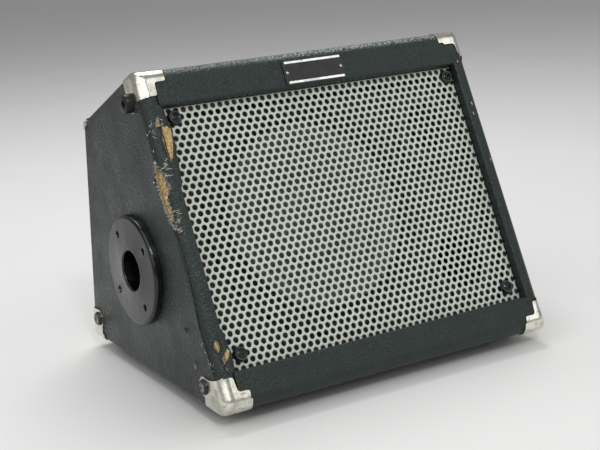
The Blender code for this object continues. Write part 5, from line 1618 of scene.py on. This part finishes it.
def woofer_paper():
    """Cone with a band of pressed ridges, and the dust cap over its neck."""
    cone = []
    for step in range(CONE_STEPS + 1):
        radius = CONE_RADIUS + (CONE_NECK - CONE_RADIUS) * step / CONE_STEPS
        off = radius - RIDGES_AT
        ridge = RIDGE_RISE * max(0, math.cos(off / RIDGE_PERIOD)) * (abs(off) < RIDGES_HALF)
        cone.append((radius, cone_height(radius) - CONE_SHEET + ridge))
    sheet = sheet_profile(cone, CONE_SHEET)
    paper = lathe("woofer_paper", sheet, WOOFER, PAPER, "cone_assembly", 96, True)
    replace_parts(paper, "woofer_cone")
    cap = []
    seat = cone_height(CAP_RADIUS) + 2 * GAP
    for step in range(CAP_STEPS + 1):
        share = 1 - step / CAP_STEPS
        cap.append((CAP_RADIUS * share, seat + CAP_RISE * (1 - share ** 2.2)))
    sheet = sheet_profile(cap, CONE_SHEET)
    dome = lathe("woofer_dome", sheet, WOOFER, PAPER, "cone_assembly", 72, False)
    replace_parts(dome, "woofer_dust_cap")


def speaker_fixings():
    gasket = lathe("woofer_gasket_ring", GASKET_PROFILE, WOOFER, CLOTH, "cabinet", 96, True)
    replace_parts(gasket, "woofer_gasket")
    for number, seat in in_a_circle(WOOFER, 8, WOOFER_RADIUS - 0.0053, 0.0059, math.pi / 8):
        put(f"woofer_screw_{number}", SMALL_SCREW, seat, BLACK_STEEL)
    for number, seat in in_a_circle(TWEETER, 4, 0.0365, GAP + 0.004, math.pi / 4):
        put(f"tweeter_screw_{number}", SMALL_SCREW, seat, BLACK_STEEL)


woofer_paper()
speaker_fixings()

# Control panel
PANEL_SET_DOWN = 0.0062
PANEL_ROW = 0.0575
KNOBS = {
    "knob_gain": -0.080,
    "knob_bass": -0.032,
    "knob_middle": 0.0,
    "knob_treble": 0.032,
    "knob_level": 0.064,
}
KNOB_RADIUS = 0.0095
KNOB_TOP_RADIUS = 0.0078
KNOB_BASE = 0.0008
KNOB_TOP = KNOB_BASE + 0.0135
KNOB_SIDES = 96
KNOB_FLUTES = 16
FLUTE_DEPTH = 0.00045
LAST_NUMBER = 10
DIAL_SWING = 150
DIAL_STEP = 30
TICK_FROM = 0.0108
TICK_TO = 0.0124
FIGURE_RADIUS = 0.0146
FIGURE_SIZE = 0.0030
PRINT_THICK = 0.00004
LAMP_X = 0.092
SWITCH_X = 0.118
BUTTON_X = -0.056
WORD_BACK = 0.0195
WORD_SIZE = 0.0036
JACKS = {"input_jack_high": -0.1285, "input_jack_low": -0.1075}
JACK_BORE = 0.00325
JACK_BARREL = 0.0046
JACK_COLLAR = 0.0068
PANEL_SCREWS = ((-0.146, -0.030), (0.146, -0.030), (-0.146, 0.026), (0.146, 0.026), (0.016, 0.028))


def panel_at(x, back=0.0):
    return FRONT @ at(x, PANEL_ROW + back, -PANEL_SET_DOWN)


def knob_mesh():
    """Skirted cap with a fluted grip."""
    # Radius, height, share of the flutes' depth
    rings = [
        (KNOB_RADIUS - 0.0015, KNOB_BASE, 0.0),
        (KNOB_RADIUS - 0.0003, KNOB_BASE, 0.0),
        (KNOB_RADIUS, KNOB_BASE + 0.0003, 0.0),
        (KNOB_RADIUS, KNOB_BASE + 0.0023, 0.0),
        (KNOB_RADIUS - 0.0006, KNOB_BASE + 0.0030, 0.0),
        (KNOB_TOP_RADIUS + 0.0003, KNOB_BASE + 0.0036, 1.0),
        (KNOB_TOP_RADIUS, KNOB_TOP - 0.0012, 1.0),
        (KNOB_TOP_RADIUS - 0.0004, KNOB_TOP - 0.0003, 0.5),
        (KNOB_TOP_RADIUS - 0.0012, KNOB_TOP, 0.0),
        (KNOB_TOP_RADIUS - 0.0022, KNOB_TOP - 0.0001, 0.0),
        (KNOB_TOP_RADIUS - 0.0026, KNOB_TOP - 0.0004, 0.0),
    ]
    bm = bmesh.new()
    loops = []
    for radius, height, share in rings:

        def fluted(angle, radius=radius, share=share):
            return radius - FLUTE_DEPTH * share * max(0.0, math.cos(angle * KNOB_FLUTES)) ** 0.7

        loops.append(ring_about_z(bm, KNOB_SIDES, height, fluted))
    bridge(bm, loops)
    return mesh_alone(finished("knob_shape", bm, BLACK_PLASTIC, None, sharp=40))


def text_mesh(words, size):
    """Flat raised print, centred."""
    data = bpy.data.curves.new("print_" + words, "FONT")
    data.body = words
    data.size = size
    data.align_x = "CENTER"
    data.align_y = "CENTER"
    data.extrude = PRINT_THICK
    made = shown("print_maker", data)
    mesh = evaluated_mesh(made)
    discard([made])
    mesh.materials.clear()
    mesh.materials.append(INK)
    return mesh


def joined(name, things, look):
    """One piece from several of one material."""
    bpy.context.view_layer.update()
    bm = bmesh.new()
    for thing in things:
        part = thing.data.copy()
        part.transform(thing.matrix_world)
        bm.from_mesh(part)
        bpy.data.meshes.remove(part)
    discard(things)
    mesh = bpy.data.meshes.new(name)
    bm.to_mesh(mesh)
    bm.free()
    mesh.materials.append(look)
    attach(shown(name, mesh), "cabinet")


FIGURES = [text_mesh(str(number), FIGURE_SIZE) for number in range(LAST_NUMBER + 1)]
KNOB = knob_mesh()


def dial_print(name, x):
    """Eleven ticks and the numbers 0 to 10 round a knob."""
    marks = []
    for number, figure_mesh in enumerate(FIGURES):
        turn = math.radians(DIAL_SWING - DIAL_STEP * number)
        low, high = (-0.0002, TICK_FROM, 0), (0.0002, TICK_TO, 0.00006)
        marks.append(box(f"tick_{number}", low, high, panel_at(x) @ spun(turn), INK, None))
        figure = shown(f"figure_{number}", figure_mesh)
        spot = at(-FIGURE_RADIUS * math.sin(turn), FIGURE_RADIUS * math.cos(turn), PRINT_THICK)
        figure.matrix_world = panel_at(x) @ spot
        marks.append(figure)
    joined(name, marks, INK)


def knobs():
    for name, x in KNOBS.items():
        cap = put(name + "_cap", KNOB, panel_at(x), BLACK_PLASTIC, name)
        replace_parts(cap, name)
        low = (-0.0005, 0.0016, KNOB_TOP - 0.0006)
        high = (0.0005, KNOB_TOP_RADIUS - 0.0003, KNOB_TOP + 0.0001)
        box(name + "_pointer", low, high, panel_at(x), INK, name)
        dial_print(name + "_dial", x)


def jack(name, where):
    """Plastic jack with its bore, a six-sided nut and a spring contact."""
    inner = JACK_BARREL - 0.0002
    hexagon = [(inner, GAP), (JACK_COLLAR, GAP), (JACK_COLLAR, 0.0019), (inner, 0.0019)]
    nut = lathe(name + "_nut", hexagon, where, BLACK_PLASTIC, "cabinet", 6, True, 20)
    soften(nut, 0.00025)
    profile = [(0, -0.022), (JACK_BORE, -0.022), (JACK_BORE, 0.0023), (JACK_BORE + 0.0004, 0.0028)]
    profile += [(JACK_BARREL - 0.0003, 0.0028), (JACK_BARREL, 0.0025), (JACK_BARREL, -0.0018)]
    profile += [(0.009, -0.0018), (0.009, -0.0278), (0, -0.0278)]
    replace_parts(lathe(name + "_body", profile, where, BLACK_PLASTIC), name)
    spring_out = JACK_BORE - 0.0002
    spring = [(0.0020, -0.0110), (spring_out, -0.0110), (spring_out, -0.0020), (0.0026, -0.0060)]
    lathe(name + "_contact", spring, where, ZINC, sides=32, closed=True)


def button():
    """Round push button that rides on its own body, in a fixed bezel."""
    profile = [(0, 0.006), (0.0034, 0.006), (0.0038, 0.0057), (0.004, 0.0052), (0.004, -0.0018)]
    profile += [(0.0052, -0.0018), (0.0052, -0.0033), (0.003, -0.0033), (0.003, -0.0046), (0, -0.0046)]
    where = panel_at(BUTTON_X)
    body = "channel_button"
    cap = lathe("channel_button_cap", profile, where, BLACK_PLASTIC, body, 36)
    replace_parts(cap, "channel_button")
    bezel = [(0.0043, GAP), (0.0062, GAP), (0.0060, 0.0010), (0.0050, 0.0014), (0.0043, 0.0014)]
    lathe("channel_button_bezel", bezel, where, BLACK_PLASTIC, sides=36, closed=True)


def lamp():
    dome = [(0, 0.0030), (0.0010, 0.0028), (0.0018, 0.0021), (0.0021, 0.0010), (0.0021, 0.0002), (0, 0.0002)]
    lathe("power_lamp_lens", dome, panel_at(LAMP_X), LAMP_LENS, sides=32)
    holder = [(0.0022, 0.0001), (0.0036, 0.0001), (0.0034, 0.0009), (0.0026, 0.0013), (0.0022, 0.0013)]
    lathe("power_lamp_ring", holder, panel_at(LAMP_X), NICKEL, sides=32, closed=True)


knobs()
for word, back in (("OFF", WORD_BACK), ("ON", -WORD_BACK)):
    seat = panel_at(SWITCH_X, back) @ at(0, 0, PRINT_THICK)
    put(f"print_{word.lower()}", text_mesh(word, WORD_SIZE), seat, INK)
for name, x in JACKS.items():
    jack(name, panel_at(x))
button()
lamp()
for number, (x, back) in enumerate(PANEL_SCREWS):
    put(f"panel_screw_{number + 1}", SMALL_SCREW, panel_at(x, back), BLACK_STEEL)

# Handle
HANDLE_BACK = TOP_DEPTH - TOP_BOARD_DEPTH / 2
HANDLE_SPAN = 0.190
CAP_HALF_LENGTH = 0.019
CAP_HALF_WIDTH = 0.01375
CAP_HEIGHT = 0.0085
CAP_SLOT_HALF = 0.0123
STRAP_HALF_WIDTH = 0.012
STRAP_FLAT_HALF = STRAP_HALF_WIDTH - 0.0012
STRAP = 0.0032
STRAP_UP = 0.0020
STRAP_RISE = 0.0165
STRAP_TUCK = 0.012
STRAP_STEPS = 64
STRAP_SECTION = [
    (-STRAP_FLAT_HALF, -STRAP / 2),
    (STRAP_FLAT_HALF, -STRAP / 2),
    (STRAP_HALF_WIDTH, -STRAP / 5),
    (STRAP_HALF_WIDTH, STRAP / 5),
    (STRAP_FLAT_HALF, STRAP / 2),
    (-STRAP_FLAT_HALF, STRAP / 2),
    (-STRAP_HALF_WIDTH, STRAP / 5),
    (-STRAP_HALF_WIDTH, -STRAP / 5),
]


def handle_strap():
    """Webbing strap that bows up between the caps."""
    reach = HANDLE_SPAN / 2 - CAP_HALF_LENGTH + STRAP_TUCK
    free = reach - STRAP_TUCK
    bm = bmesh.new()
    rings = []
    for step in range(STRAP_STEPS + 1):
        x = reach * (2 * step / STRAP_STEPS - 1)
        bow = STRAP_RISE * (0.5 + 0.5 * math.cos(math.pi * min(1, abs(x) / free)))
        height = STRAP_UP + STRAP / 2 + bow
        rings.append([bm.verts.new((x, across, height + up)) for across, up in STRAP_SECTION])
    bridge(bm, rings)
    place_in = FRONT @ at(0, HANDLE_BACK, 0)
    strap = finished("handle_webbing", bm, STRAP_WEBBING, "cabinet", place_in, 60)
    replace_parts(strap, "handle_strap")


def handle_cap(word, side):
    """Bright cap with a slot for the strap, and its bolt."""
    seat = FRONT @ at(side * HANDLE_SPAN / 2, HANDLE_BACK, GAP)
    outline = rounded_rectangle(CAP_HALF_LENGTH, CAP_HALF_WIDTH, 0.004)
    cap = extruded(f"handle_cap_{word}_cover", outline, 0, CAP_HEIGHT, seat, NICKEL)
    near, far = sorted((-side * (CAP_HALF_LENGTH + 0.01), -side * (CAP_HALF_LENGTH - 0.013)))
    low, high = (near, -CAP_SLOT_HALF, 0.0014), (far, CAP_SLOT_HALF, 0.0055)
    combine(cap, [box("cap_slot", low, high, seat, NICKEL, None)])
    soften(cap, 0.0018, 4)
    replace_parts(cap, f"handle_cap_{word}")
    put(f"handle_bolt_{word}", SCREW, seat @ at(0, 0, CAP_HEIGHT), NICKEL)


handle_strap()
for word, side in SIDES.items():
    handle_cap(word, side)

# Rear
REAR_FACE = REAR @ at(0, -0.003, 0) @ FACING_REAR
INLET_X = 0.085
INLET_UP = 0.060
INLET_SCREW_OUT = 0.020
PANEL_LOW_SCREW_UP = 0.024
PANEL_SCREW_RISE = 0.076
PANEL_SIDE_SCREW_X = 0.1455
PANEL_LOW_SCREW_X = 0.05
PANEL_SCREW_TURN = 0.7


def rear_screws():
    spots = []
    for side in SIDES.values():
        for row in range(3):
            spots.append((side * PANEL_SIDE_SCREW_X, PANEL_LOW_SCREW_UP + row * PANEL_SCREW_RISE))
    spots += [(side * PANEL_LOW_SCREW_X, PANEL_LOW_SCREW_UP) for side in SIDES.values()]
    for number, (x, up) in enumerate(spots):
        where, turn = REAR_FACE @ at(x, -up, 0), PANEL_SCREW_TURN * number
        washer_and_screw(f"rear_panel_{number + 1}", where, BLACK_STEEL, turn)
    for word, side in SIDES.items():
        seat = REAR_FACE @ at(INLET_X + side * INLET_SCREW_OUT, -INLET_UP, 0.003)
        put(f"inlet_screw_{word}", SMALL_SCREW, seat, ZINC)


rear_screws()

# Materials of the solids that stay, by the start of their names
CARRIED = (
    (VINYL, ("top_board",)),
    (PANEL_VINYL, ("bottom_board", "rear_panel")),
    (WOOD, ("rear_frame",)),
    (BLACK_WOOD, ("baffle_board", "grille_frame")),
    (BLACK_STEEL, ("woofer_basket",)),
    (CLOTH, ("woofer_surround", "woofer_spider")),
    (COPPER, ("woofer_voice_coil",)),
    (ZINC, ("woofer_top_plate", "woofer_yoke", "chassis_tray", "transformer")),
    (FERRITE, ("woofer_magnet",)),
    (PANEL_PAINT, ("control_panel",)),
    (CIRCUIT, ("circuit_board",)),
    (BLACK_PLASTIC, ("tweeter", "port_tube", "switch_housing", "power_rocker", "mains_inlet")),
)
for node_name, solid in frame["nodes"].items():
    for solid_look, starts in CARRIED:
        if node_name.startswith(starts):
            solid.data.materials.clear()
            solid.data.materials.append(solid_look)


# Light, floor and backdrop
def area_light(name, where, target, size, power):
    data = bpy.data.lights.new(name, "AREA")
    data.shape = "RECTANGLE"
    data.size, data.size_y = size
    data.energy = power
    made = shown(name, data)
    made.location = where
    made.rotation_mode = "QUATERNION"
    made.rotation_quaternion = (Vector(target) - Vector(where)).to_track_quat("-Z", "Y")


def studio():
    area_light("key", (-1.2, -0.8, 1.6), (0, 0, 0.12), (2.7, 2.7), 24)
    area_light("small", (-0.55, -1.5, 1.7), (0, 0, 0.2), (0.22, 0.22), 8)
    area_light("fill", (1.25, -1.35, 1.25), (0, 0, 0.2), (1.8, 1.7), 9)
    area_light("top", (0.2, 0.75, 1.6), (0, 0, 0.15), (1.2, 0.8), 17)
    world = bpy.data.worlds.new("world")
    bpy.context.scene.world = world
    world.use_nodes = True
    background = world.node_tree.nodes["Background"]
    background.inputs["Color"].default_value = (0.86, 0.87, 0.88, 1)
    background.inputs["Strength"].default_value = 0.34
    floor_look = material("pale_floor", (0.72, 0.72, 0.71), 0.7)
    paint(floor_look, noise(floor_look, 3), (0.70, 0.70, 0.69), (0.74, 0.74, 0.73))
    bm = bmesh.new()
    bmesh.ops.create_grid(bm, x_segments=1, y_segments=1, size=6)
    floor = finished("floor", bm, floor_look, None)


studio()
scene = bpy.context.scene
scene.view_settings.view_transform = "Standard"
